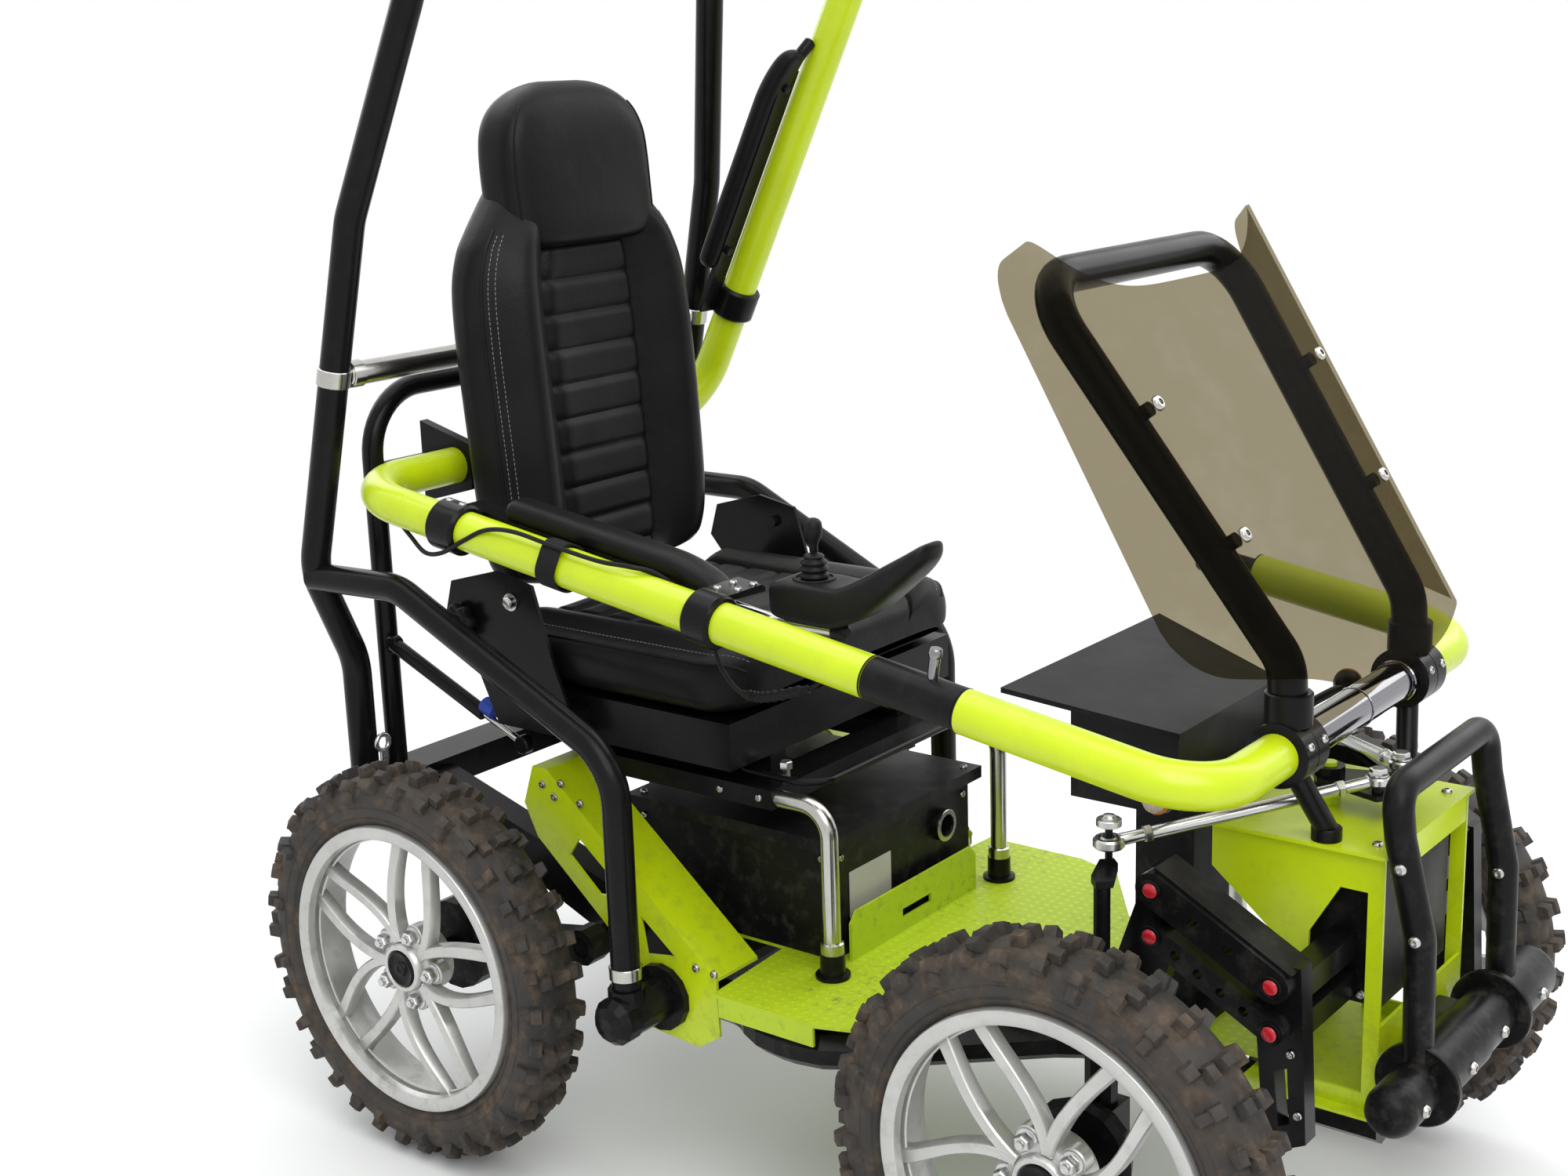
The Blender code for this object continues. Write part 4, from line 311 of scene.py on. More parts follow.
LOOKS = {
    "lime": coated("lime_paint", (0.545, 0.69, 0.006), 0.3, grain=(650, 0.1), dirt=0.45, dirt_top=0.55,
                   mottle=0.05, coat=0.25),
    "tread": tread_plate("lime_tread", (0.49, 0.66, 0.01)),
    "black": coated("black_powder", (0.0062, 0.0062, 0.007), 0.33, grain=(1100, 0.22), dirt=0.13,
                    dirt_top=0.65, mottle=0.15, soil=DUST),
    "satin": coated("black_satin", (0.0055, 0.0055, 0.0062), 0.26, grain=(500, 0.05), dirt=0.06, soil=DUST),
    "alloy": coated("cast_alloy", (0.56, 0.56, 0.54), 0.34, 0.65, (700, 0.1), 0.3, 0.6, 0.06),
    "steel": brushed("zinc_steel", (0.66, 0.67, 0.66), 0.26),
    "tube": brushed("bent_steel", (0.56, 0.55, 0.52), 0.2, (300, 300, 4)),
    "chrome": brushed("dark_chrome", (0.3, 0.3, 0.32), 0.07, (2, 300, 300), 0.03),
    "rubber": tyre_rubber(),
    "leather": leather(),
    "plastic": coated("moulded_plastic", (0.0085, 0.0085, 0.0095), 0.42, grain=(1500, 0.35), dirt=0.1,
                      soil=DUST),
    "cable": coated("cable_rubber", (0.01, 0.01, 0.011), 0.48, grain=(800, 0.15), dirt=0.12, soil=DUST),
    "thread": coated("seam_thread", (0.2, 0.2, 0.21), 0.8, grain=(3000, 0.4), dirt=0.0),
    "red": coated("red_cap", (0.52, 0.01, 0.022), 0.3, grain=(600, 0.08), dirt=0.12, coat=0.4),
    "blue": coated("blue_cap", (0.012, 0.055, 0.42), 0.36, grain=(600, 0.08), dirt=0.1),
    "webbing": coated("woven_strap", (0.014, 0.014, 0.015), 0.85, grain=(2200, 0.9), dirt=0.15, soil=DUST),
    "label": coated("blank_label", (0.52, 0.5, 0.45), 0.4, grain=(900, 0.05), dirt=0.1, soil=DUST),
    "smoke": smoke_sheet(),
    "amber": clear_lens("amber_lens", (0.85, 0.33, 0.04)),
    "lens": clear_lens("clear_lens", (0.8, 0.8, 0.76)),
}


# Building


def dress(thing, look):
    """Gives a piece or a CAD node one of the looks."""
    thing.data.materials.clear()
    thing.data.materials.append(LOOKS[look])
    return thing


def as_mesh(name, shape):
    """A mesh of a finished shape, with its faces turned outwards."""
    mesh = bpy.data.meshes.new(name)
    bmesh.ops.recalc_face_normals(shape, faces=shape.faces)
    shape.to_mesh(mesh)
    shape.free()
    return mesh


def add_piece(name, mesh, look, body, sharp=40):
    """A finished piece on its body. Faces that meet below the sharp angle are shaded smooth."""
    if isinstance(mesh, bmesh.types.BMesh):
        mesh = as_mesh(name, mesh)
    mesh.shade_smooth()
    mesh.set_sharp_from_angle(angle=math.radians(sharp))
    thing = dress(add_object(name, mesh), look)
    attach(thing, body)
    return thing


def cut_away(shape, cutter):
    """A mesh of the shape less the cutter."""
    things = [add_object("working", as_mesh("working", part)) for part in (shape, cutter)]
    cut = things[0].modifiers.new("cut", "BOOLEAN")
    cut.operation, cut.solver, cut.object = "DIFFERENCE", "EXACT", things[1]
    whole = things[0].evaluated_get(bpy.context.evaluated_depsgraph_get())
    result = bpy.data.meshes.new_from_object(whole)
    for thing in things:
        bpy.data.meshes.remove(thing.data)
    return result


def between(low, high, share):
    return low + share * (high - low)


def turns(count):
    """The angles of a full turn in even steps."""
    return [2 * math.pi * index / count for index in range(count)]


def even_steps(low, high, count):
    """Even steps from low to high, with both ends."""
    return [low + (high - low) * index / count for index in range(count + 1)]


def crowded_steps(low, high, count):
    """Steps from low to high that crowd together towards both ends."""
    return [low + (high - low) * (0.5 - 0.5 * math.cos(turn)) for turn in even_steps(0, math.pi, count)]


def boxy(value, power):
    """A sine or cosine drawn out by a power: below 1, it makes a round section more square."""
    return math.copysign(abs(value) ** power, value)


def loft(shape, rings, closed=False):
    """Skins rings of points, each with the same count, and fills both ends or joins them."""
    made = [[shape.verts.new(point) for point in ring] for ring in rings]
    count = len(made[0])
    for first, second in zip(made, made[1:] + made[:1] if closed else made[1:]):
        for index in range(count):
            after = (index + 1) % count
            shape.faces.new((first[index], first[after], second[after], second[index]))
    if not closed:
        shape.faces.new(made[0][::-1])
        shape.faces.new(made[-1])


def lofted(rings):
    """A new lofted shape."""
    shape = bmesh.new()
    loft(shape, rings)
    return shape


def circle(centre, across, other, radius, sides):
    return [centre + radius * (math.cos(turn) * across + math.sin(turn) * other) for turn in turns(sides)]


def square_to(direction):
    """Two unit vectors at right angles to a direction."""
    direction = direction.normalized()
    across = direction.orthogonal().normalized()
    return across, direction.cross(across)


def rounded(corners, bend, steps=8):
    """A path through corners, with an arc of the given radius at each inner one."""
    corners = [Vector(corner) for corner in corners]
    path = [corners[0]]
    for before, corner, after in zip(corners, corners[1:], corners[2:]):
        back = (before - corner).normalized()
        ahead = (after - corner).normalized()
        half = back.angle(ahead) / 2
        reach = min(bend / math.tan(half), (before - corner).length * 0.49, (after - corner).length * 0.49)
        radius = reach * math.tan(half)
        middle = corner + (back + ahead).normalized() * (radius / math.sin(half))
        start, end = corner + back * reach - middle, corner + ahead * reach - middle
        sweep_angle = start.angle(end)
        for step in range(steps + 1):
            share = step / steps
            blend = (math.sin((1 - share) * sweep_angle) * start + math.sin(share * sweep_angle) * end)
            path.append(middle + blend / math.sin(sweep_angle))
    path.append(corners[-1])
    return path


def smooth_path(points, count=48):
    """A smooth curve through the points, as evenly numbered steps."""
    points = [Vector(point) for point in points]
    padded = [2 * points[0] - points[1]] + points + [2 * points[-1] - points[-2]]
    path = []
    for step in range(count + 1):
        place = step / count * (len(points) - 1)
        index = min(int(place), len(points) - 2)
        t = place - index
        a, b, c, d = padded[index:index + 4]
        path.append(0.5 * (2 * b + (c - a) * t + (2 * a - 5 * b + 4 * c - d) * t ** 2
                           + (3 * b - a - 3 * c + d) * t ** 3))
    return path


DOME_STEPS = ((1.0, 0.55), (0.8, 0.82), (0.4, 0.96))


def sweep(shape, path, radius, sides=20, dome=0.0):
    """A round bar along a path. A dome rounds both ends over that share of the radius."""
    path = [Vector(point) for point in path]
    last = len(path) - 1
    across = None
    rings = []
    for index, point in enumerate(path):
        direction = (path[min(index + 1, last)] - path[max(index - 1, 0)]).normalized()
        if across is None:
            across = square_to(direction)[0]
        across = (across - direction * across.dot(direction)).normalized()
        other = direction.cross(across)
        inward = {0: 1, last: -1}.get(index, 0)
        if dome and inward:
            for rise, wide in DOME_STEPS[::inward]:
                middle = point + direction * inward * radius * dome * (1 - rise)
                rings.append(circle(middle, across, other, radius * wide, sides))
        else:
            rings.append(circle(point, across, other, radius, sides))
    loft(shape, rings)


def turned(shape, profile, origin, axis, sides=32, closed=False):
    """Adds a shape turned about an axis. The profile lists (distance along the axis, radius)."""
    axis = Vector(axis).normalized()
    across, other = square_to(axis)
    origin = Vector(origin)
    rings = [circle(origin + axis * along, across, other, radius, sides) for along, radius in profile]
    loft(shape, rings, closed)


def block(shape, low, high, soften=0.0):
    """A box between two corners, with softened edges."""
    low, high = Vector(low), Vector(high)
    made = bmesh.ops.create_cube(shape, size=1.0)["verts"]
    for vert in made:
        vert.co = Vector(((low[axis] + high[axis]) / 2 + vert.co[axis] * abs(high[axis] - low[axis]))
                         for axis in range(3))
    if soften:
        edges = list({edge for vert in made for edge in vert.link_edges})
        bmesh.ops.bevel(shape, geom=edges, offset=soften, segments=2, affect="EDGES", profile=0.6)


def lathe(profile, origin, axis, sides=32):
    """A new turned shape."""
    shape = bmesh.new()
    turned(shape, profile, origin, axis, sides)
    return shape


# Screw and bolt heads as shares of their radius: distance from the seat, radius
DOMED_HEAD = [(0, 1), (0.25, 1), (0.55, 0.8), (0.66, 0.5), (0.64, 0.42), (0.2, 0.38)]
WASHER = [(0, 1.35), (0.18, 1.35), (0.2, 1.05)]
HEXAGON_HEAD = [(0.15, 1), (0.8, 1), (0.95, 0.8), (0.8, 0.45)]


def screw_heads(name, places, axis, radius, look, body, hexagon=False):
    """A set of screw or bolt heads: domed with a socket, or hexagonal with a washer."""
    shape = bmesh.new()
    parts = [(WASHER, 20), (HEXAGON_HEAD, 6)] if hexagon else [(DOMED_HEAD, 18)]
    for place in places:
        for profile, sides in parts:
            turned(shape, [(along * radius, wide * radius) for along, wide in profile], place, axis, sides)
    return add_piece(name, shape, look, body, 35)


def inherit(name, look, soften=0.0012, sharp=math.radians(40)):
    """Keeps a CAD node on show with a look and lightly rounded edges."""
    thing = dress(NODES[name], look)
    thing.data.shade_smooth()
    thing.data.set_sharp_from_angle(angle=sharp)
    bevel = thing.modifiers.new("edges", "BEVEL")
    bevel.width = soften
    bevel.segments = 2
    bevel.limit_method = "ANGLE"
    bevel.angle_limit = sharp


# Wheels

KNOB_PITCHES = 34
KNOB_HEIGHT = 0.0125
CARCASS = [
    # Across from the middle, radius
    (0.033, 0.1915), (0.0385, 0.199), (0.041, 0.21), (0.0415, 0.22), (0.04, 0.231),
    (0.034, 0.2415), (0.024, 0.247), (0.012, 0.2495), (0.0, 0.2502),
]
KNOB_ROOT = 0.003
LUG_CIRCLE = 0.0456
SPOKE_PAIRS = 5


def carcass_radius(across):
    """The radius of the tyre's surface below its knobs, at a distance across from its middle."""
    across = abs(across)
    for (wide, low), (narrow, high) in zip(CARCASS[4:], CARCASS[5:]):
        if narrow <= across <= wide:
            return between(low, high, (wide - across) / (wide - narrow))
    return CARCASS[4][1]


def round_axle(turn):
    """The unit vectors outward and forward at a turn about the X axis."""
    return Vector((0, math.cos(turn), math.sin(turn))), Vector((0, -math.sin(turn), math.cos(turn)))


def knob(shape, turn, across, tilt, wide, long, tall, skew):
    """One tread knob: a tapered block that stands square to the tyre's surface. Gives its top's edges."""
    radial, forward = round_axle(turn)
    sideways = Vector((1, 0, 0))
    up = (radial * math.cos(tilt) + sideways * math.sin(tilt)).normalized()
    over = sideways * math.cos(tilt) - radial * math.sin(tilt)
    foot = sideways * across + radial * (carcass_radius(across) - KNOB_ROOT)
    corners = [(-1, -1), (1, -1), (1, 1), (-1, 1)]
    lower = [shape.verts.new(foot + over * x * wide * 0.58 + forward * y * long * 0.58) for x, y in corners]
    shift = forward * skew * long * 0.12
    upper = []
    for x, y in corners:
        rough = Vector([random.uniform(-1, 1) for _ in range(3)]) * 0.0007
        upper.append(shape.verts.new(foot + up * (tall + KNOB_ROOT) + over * x * wide * 0.47
                                     + forward * y * long * 0.46 + shift + rough))
    top = shape.faces.new(upper)
    for index in range(4):
        after = (index + 1) % 4
        shape.faces.new((lower[index], lower[after], upper[after], upper[index]))
    return list(top.edges)


def tyre_mesh():
    """A knobbly off-road tyre about the X axis, round the origin."""
    shape = bmesh.new()
    section = CARCASS + [(-wide, radius) for wide, radius in CARCASS[-2::-1]] + [(-0.03, 0.19), (0.03, 0.19)]
    rings = []
    for turn in turns(120):
        rings.append([Vector((wide, radius * math.cos(turn), radius * math.sin(turn)))
                      for wide, radius in section])
    loft(shape, rings, closed=True)
    for radius, wide in ((0.201, 0.0396), (0.2155, 0.0412)):
        for side in (-1, 1):
            root = side * (wide - 0.002)
            turned(shape, [(root, radius - 0.002), (side * (wide + 0.0007), radius), (root, radius + 0.002)],
                   (0, 0, 0), (1, 0, 0), 96, closed=True)
    tops = []
    for pitch in range(KNOB_PITCHES):
        turn = 2 * math.pi * pitch / KNOB_PITCHES + random.uniform(-0.006, 0.006)
        half = math.pi / KNOB_PITCHES
        skew = random.choice((-1, 1))
        if pitch % 2:
            for across in (-0.0095, 0.0095):
                tops += knob(shape, turn, across, across * 12, 0.015, 0.015, KNOB_HEIGHT, skew)
        else:
            tops += knob(shape, turn, 0.0, 0.0, 0.02, 0.013, KNOB_HEIGHT, skew)
            for across in (-0.0215, 0.0215):
                tops += knob(shape, turn, across, across * 18, 0.012, 0.016, KNOB_HEIGHT, skew)
        for side in (-1, 1):
            place = turn + half * (0.5 if side > 0 else -0.3)
            tops += knob(shape, place, side * 0.033, side * 0.8, 0.014, 0.015, 0.0105, skew)
            if pitch % 2:
                tops += knob(shape, place, side * 0.0388, side * 1.3, 0.018, 0.012, 0.0046, skew)
    bmesh.ops.bevel(shape, geom=list(set(tops)), offset=0.0012, segments=2, affect="EDGES", profile=0.5)
    return shape


def spoke(shape, nut_turn, side):
    """One arm of a pair. It leaves the hub beside a wheel nut and ends close to its twin on the rim."""
    rings = []
    for share in even_steps(0, 1, 14):
        radius = between(0.034, 0.18, share)
        spread = math.radians(30) * (1 - share) ** 1.5 + math.radians(6.6) + math.radians(2.0) * share
        turn = nut_turn + side * spread + math.radians(9) * math.sin(share * math.pi / 2)
        half = 0.007 + 0.0022 * share ** 2
        front = 0.029 + 0.003 * math.sin(math.pi * share) - 0.005 * share ** 2
        back = front - 0.02 + 0.006 * share
        radial, forward = round_axle(turn)
        section = [(-half * 1.12, back), (-half, front - 0.002), (-half + 0.0018, front),
                   (-half * 0.45, front - 0.0004), (half * 0.45, front - 0.0004), (half - 0.0018, front),
                   (half, front - 0.002), (half * 1.12, back)]
        rings.append([radial * radius + forward * wide + Vector((deep, 0, 0)) for wide, deep in section])
    loft(shape, rings)


def rim_mesh():
    """A cast rim about the X axis with its face towards +X, and pairs of curved spokes."""
    barrel = [
        (-0.036, 0.1902), (0.0395, 0.1902), (0.0412, 0.189), (0.0416, 0.187), (0.0408, 0.1752),
        (0.0392, 0.173), (0.036, 0.1722), (0.029, 0.1716), (0.0255, 0.174), (0.018, 0.1768),
        (-0.01, 0.1785), (-0.03, 0.1825), (-0.036, 0.185),
    ]
    seat = [(0.021, 0.177), (0.0235, 0.17), (0.0225, 0.168), (0.019, 0.169), (0.017, 0.177)]
    hub = [
        (-0.018, 0.042), (0.018, 0.044), (0.023, 0.042), (0.0245, 0.033), (0.0325, 0.0318),
        (0.0345, 0.03), (0.035, 0.0255), (0.033, 0.0238), (0.03, 0.0236),
    ]
    shape = bmesh.new()
    for profile in (barrel, seat):
        turned(shape, profile, (0, 0, 0), (1, 0, 0), 120, closed=True)
    turned(shape, hub, (0, 0, 0), (1, 0, 0), 72)
    for turn in turns(SPOKE_PAIRS):
        for side in (-1, 1):
            spoke(shape, turn, side)
        turned(shape, [(0.005, 0.015), (0.02, 0.015), (0.0215, 0.0135), (0.0205, 0.0118)],
               round_axle(turn)[0] * LUG_CIRCLE, (1, 0, 0), 24)
    return shape


def nut_mesh():
    """The wheel nuts, with a washer and a stud's end each."""
    shape = bmesh.new()
    washer = [(0.02, 0.0122), (0.0222, 0.0122), (0.0228, 0.011)]
    nut = [(0.0222, 0.0098), (0.0325, 0.0098), (0.0345, 0.0082), (0.035, 0.006)]
    stud = [(0.034, 0.0052), (0.0385, 0.005), (0.0392, 0.004)]
    for turn in turns(SPOKE_PAIRS):
        for profile, sides in ((washer, 24), (nut, 6), (stud, 14)):
            turned(shape, profile, round_axle(turn)[0] * LUG_CIRCLE, (1, 0, 0), sides)
    return shape


def cap_mesh():
    """The black centre cap with a raised ring and a small bolt."""
    return lathe([(0.03, 0.0234), (0.0348, 0.0232), (0.0362, 0.0215), (0.035, 0.019), (0.0338, 0.015),
                  (0.034, 0.01), (0.0362, 0.0088), (0.0366, 0.006), (0.035, 0.004)], (0, 0, 0), (1, 0, 0), 48)


# How far each right wheel is turned at rest
WHEEL_TURN = {"rear": math.radians(72), "front": math.radians(44)}


def add_wheels():
    shapes = {
        "tyre": (as_mesh("tyre", tyre_mesh()), "rubber", 30),
        "rim": (as_mesh("rim", rim_mesh()), "alloy", 38),
        "nuts": (as_mesh("nuts", nut_mesh()), "steel", 35),
        "cap": (as_mesh("cap", cap_mesh()), "satin", 40),
    }
    for end, axle_y in (("rear", REAR_AXLE_Y), ("front", FRONT_AXLE_Y)):
        for side, word in SIDES:
            face_out = Matrix.Rotation(math.pi if side < 0 else 0.0, 4, "Z")
            spin = Matrix.Rotation(random.uniform(0, 2 * math.pi) if side > 0 else WHEEL_TURN[end], 4, "X")
            place = Matrix.Translation((side * TRACK_HALF, axle_y, TYRE_RADIUS)) @ face_out @ spin
            for kind, (mesh, look, sharp) in shapes.items():
                copy = mesh.copy()
                copy.transform(place)
                piece = add_piece(f"{end}_{kind}_{word}_piece", copy, look, f"{end}_wheel_{word}", sharp)
                if kind in ("tyre", "rim"):
                    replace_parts(piece, f"{end}_{kind}_{word}")


# Tubes


def on_bar(side, distance, lift=0.0, across=BAR_X):
    """A point on a side bar's line: distance forward from its hinge, lifted square to it."""
    return Vector((side * across,
                   HINGE_Y - distance * math.cos(BAR_SLOPE) - lift * math.sin(BAR_SLOPE),
                   HINGE_Z - distance * math.sin(BAR_SLOPE) + lift * math.cos(BAR_SLOPE)))


def swung(side, point):
    """The left bar stands raised, so its points turn up about the hinge."""
    point = Vector(point)
    if side < 0:
        return point
    hinge = Vector((point.x, HINGE_Y, HINGE_Z))
    return Matrix.Rotation(-BAR_RAISED, 3, "X") @ (point - hinge) + hinge


def bar_point(side, distance, lift=0.0, across=BAR_X):
    """A point of a bar as it stands: the right one level, the left one raised."""
    return swung(side, on_bar(side, distance, lift, across))


# The cage's tube at its foot, its waist, its shoulder and its top
CAGE_FOOT = (0.3, 0.67, 0.4583)
CAGE_WAIST = (0.357, 0.668, 0.755)
CAGE_SHOULDER = (0.338, 0.566, 1.201)
CAGE_TOP = (0.232, 0.445, 1.68)
SIDE_LEG_X, SIDE_LEG_Y = 0.345, 0.172
CROSS_TUBE_Z = 1.007
HOOP_X, HOOP_Y, HOOP_TOP = 0.25, 0.662, 0.97
LUG_NEAR, LUG_FAR = 0.1447, 0.1587


def on_cage(z):
    """The X and Y of the cage's tube between its waist and its shoulder."""
    share = (z - CAGE_WAIST[2]) / (CAGE_SHOULDER[2] - CAGE_WAIST[2])
    return [between(low, high, share) for low, high in zip(CAGE_WAIST[:2], CAGE_SHOULDER[:2])]


def both_sides(half):
    """The path on the right, then its mirror image back down on the left."""
    return [(-x, y, z) for x, y, z in half] + [(x, y, z) for x, y, z in reversed(half)]


def rod(shape, start, end, radius, sides=24):
    sweep(shape, [start, end], radius, sides)


def ring_band(shape, centre, axis, inner, outer, half, sides=40):
    """A collar round a bar, with small chamfers."""
    lip = min((outer - inner) * 0.4, half * 0.4)
    profile = [(-half, inner), (-half, outer - lip), (-half + lip, outer), (half - lip, outer),
               (half, outer - lip), (half, inner)]
    turned(shape, profile, centre, axis, sides, closed=True)


def add_cage():
    """The roll cage with its side legs, cross tube and bands, and the hoop that carries the side bars."""
    cage = bmesh.new()
    foot_x, foot_y, foot_z = CAGE_FOOT
    half = [CAGE_FOOT, (foot_x, foot_y, 0.622), CAGE_WAIST, CAGE_SHOULDER, (0.281, 0.5, 1.45), CAGE_TOP]
    sweep(cage, rounded(both_sides(half), 0.11, 12), 0.019, 32)
    for side in (-1, 1):
        turned(cage, [(0, 0.0205), (0.0015, 0.0215), (0.0105, 0.0215), (0.012, 0.02)],
               (side * foot_x, foot_y, foot_z), (0, 0, 1), 36)
        start_x, start_y = on_cage(0.747)
        leg_x = side * SIDE_LEG_X
        loop = [(side * start_x, start_y, 0.747), (side * 0.35, 0.52, 0.749), (leg_x, SIDE_LEG_Y, 0.58),
                (leg_x, SIDE_LEG_Y, 0.2983)]
        sweep(cage, rounded(loop, 0.085, 12), 0.018, 32)
    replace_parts(add_piece("cage_piece", cage, "satin", "frame"), "roll_cage")
    x, y = on_cage(CROSS_TUBE_Z)
    cross = add_piece("cross_tube_piece", cross_tube_mesh(x - 0.0196, y), "tube", "frame")
    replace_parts(cross, "cage_cross_tube")
    bands = bmesh.new()
    lean = Vector([high - low for low, high in zip(CAGE_WAIST, CAGE_SHOULDER)]).normalized()
    for side in (-1, 1):
        ring_band(bands, (side * x, y, CROSS_TUBE_Z), (side * lean.x, lean.y, lean.z), 0.0188, 0.0212, 0.011)
        ring_band(bands, (side * SIDE_LEG_X, SIDE_LEG_Y, 0.318), (0, 0, 1), 0.0178, 0.0205, 0.008)
    add_piece("cage_bands", bands, "tube", "frame")
    hoop = bmesh.new()
    half = [(HOOP_X, HOOP_Y, foot_z), (HOOP_X, HOOP_Y, HOOP_TOP)]
    sweep(hoop, rounded(both_sides(half), 0.085, 12), 0.014, 28)
    rod(hoop, (-HOOP_X, HOOP_Y, HINGE_Z), (HOOP_X, HOOP_Y, HINGE_Z), 0.0126)
    reach = BAR_RADIUS + 0.006
    lug = [(HINGE_Y - reach, HINGE_Z - reach), (0.668, HINGE_Z - 0.055), (0.668, HINGE_Z + 0.055),
           (HINGE_Y - reach, HINGE_Z + reach)]
    for side in (-1, 1):
        faces = sorted((side * LUG_NEAR, side * LUG_FAR))
        loft(hoop, [[Vector((x, y, z)) for y, z in lug] for x in faces])
        rod(hoop, (side * 0.155, HINGE_Y, HINGE_Z), (side * 0.199, HINGE_Y, HINGE_Z), 0.01)
    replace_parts(add_piece("hinge_hoop_piece", hoop, "satin", "frame"), "bar_hinge_frame")
    for side, word in SIDES:
        screw_heads(f"hinge_heads_{word}", [(side * LUG_NEAR, HINGE_Y, HINGE_Z)], (-side, 0, 0), 0.011,
                    "steel", "frame", hexagon=True)


def cross_tube_mesh(end, y):
    place = (0, y, CROSS_TUBE_Z)
    shape = lathe([(-end, 0.0135), (-end + 0.0015, 0.015), (end - 0.0015, 0.015), (end, 0.0135)], place,
                  (1, 0, 0), 36)
    for side in (-1, 1):
        ring_band(shape, (side * (end - 0.012), *place[1:]), (1, 0, 0), 0.0145, 0.0172, 0.01)
    return shape


def bar_up(side):
    """The direction square to a bar, away from its underside."""
    return bar_point(side, 0, 1) - bar_point(side, 0, 0)


def bar_ring(side, distance, proud, half, point=bar_point):
    """A new ring round a bar, which stands proud of it."""
    shape = bmesh.new()
    ring_band(shape, point(side, distance), point(side, 1) - point(side, 0), BAR_RADIUS - 0.0004,
              BAR_RADIUS + proud, half)
    return shape


def add_side_bars():
    """The two bars that swing up beside the seat."""
    for side, word in SIDES:
        body = f"bar_{word}"
        path = [(side * 0.159, HINGE_Y, HINGE_Z), (side * BAR_X, HINGE_Y, HINGE_Z), on_bar(side, BAR_LENGTH)]
        bar = bmesh.new()
        sweep(bar, [swung(side, point) for point in rounded(path, 0.098, 14)], BAR_RADIUS, 40)
        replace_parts(add_piece(f"bar_{word}_piece", bar, "lime", body), f"side_bar_{word}")
        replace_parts(add_piece(f"sleeve_{word}_piece", sleeve_mesh(side), "black", body, 32),
                    f"bar_sleeve_{word}")
        add_piece(f"bar_seam_{word}", bar_ring(side, BAR_LENGTH - 0.001, *SEAM), "plastic", body)
    add_strap()


def add_strap():
    """The woven strap round the right bar, with its free end lying over it."""
    rings = []
    for share in even_steps(0, 1, 64):
        turn = math.radians(-70 + 415 * share)
        radius = BAR_RADIUS + 0.0012 + 0.0022 * share
        radius += 0.0042 * math.exp(-((math.degrees(turn) - 118) / 26) ** 2)
        ring = []
        for thick, along in ((0, -0.0145), (0.0022, -0.0145), (0.0022, 0.0145), (0, 0.0145)):
            distance = 0.365 + along + 0.0015 * math.sin(3 * turn)
            reach = radius + thick
            ring.append(bar_point(-1, distance, reach * math.sin(turn), BAR_X - reach * math.cos(turn)))
        rings.append(ring)
    add_piece("bar_strap", lofted(rings), "webbing", "bar_right", 35)


def sleeve_mesh(side):
    """The saddle at the bar's end: whole at its rear, then open below along the spigot."""
    shape = bmesh.new()
    start, slot, end = BAR_LENGTH + 0.0003, 0.8455, BAR_LENGTH + SLEEVE_LENGTH

    def lifted(distance, points, size=1.0):
        return [bar_point(side, distance, size * lift, BAR_X + side * (size * x)) for x, lift in points]

    whole = [(BAR_RADIUS * math.cos(turn), BAR_RADIUS * math.sin(turn)) for turn in turns(40)]
    loft(shape, [lifted(start, whole, 0.96), lifted(start + 0.0015, whole), lifted(slot, whole)])
    mouth = 0.0179
    low = -math.acos(mouth / BAR_RADIUS)
    outer = [(BAR_RADIUS * math.cos(turn), BAR_RADIUS * math.sin(turn))
             for turn in even_steps(low, math.pi - low, 30)]
    inner = [(0.019 * math.cos(turn), 0.002 + 0.019 * math.sin(turn))
             for turn in even_steps(0, math.pi, 18)[::-1]]
    section = outer + [(-mouth, outer[-1][1])] + inner + [(mouth, outer[0][1])]
    loft(shape, [lifted(slot - 0.001, section), lifted(end - 0.0015, section), lifted(end, section, 0.985)])
    return shape


def add_front_bars():
    """The fixed front ends of the side bars, with the spigots and pins that hold them."""
    pin = [(0.0, 0.0045), (0.0015, 0.006), (0.042, 0.006), (0.0425, 0.0068), (0.044, 0.0072),
           (0.0505, 0.0072), (0.052, 0.006)]
    start, pin_at = BAR_LENGTH + SLEEVE_LENGTH + 0.001, 0.886
    for side, word in SIDES:
        shape = bmesh.new()
        corner, end = (side * (BAR_X - 0.004), CROSS_Y, CROSS_Z), (side * 0.1853, CROSS_Y, CROSS_Z)
        sweep(shape, rounded([on_bar(side, start), corner, end], 0.16, 14), BAR_RADIUS, 40)
        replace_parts(add_piece(f"front_bar_{word}_piece", shape, "lime", "frame"), f"front_bar_{word}")
        spigot = lathe([(0, 0.017), (0.076, 0.017), (0.079, 0.015), (0.08, 0.012)],
                       on_bar(side, start + 0.001), on_bar(side, 0) - on_bar(side, 1))
        bore = bmesh.new()
        rod(bore, on_bar(side, pin_at, 0.003), on_bar(side, pin_at, 0.03), 0.0064, 32)
        add_piece(f"spigot_{word}", cut_away(spigot, bore), "satin", "frame")
        band = bar_ring(side, start + 0.001, *SEAM, on_bar)
        add_piece(f"front_bar_band_{word}", band, "plastic", "frame")
        shape = lathe(pin, bar_point(side, pin_at, 0.004), bar_up(side), 24)
        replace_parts(add_piece(f"latch_pin_{word}_piece", shape, "chrome", f"pin_{word}"), f"latch_pin_{word}")


# Front hoop, windscreen and bumper


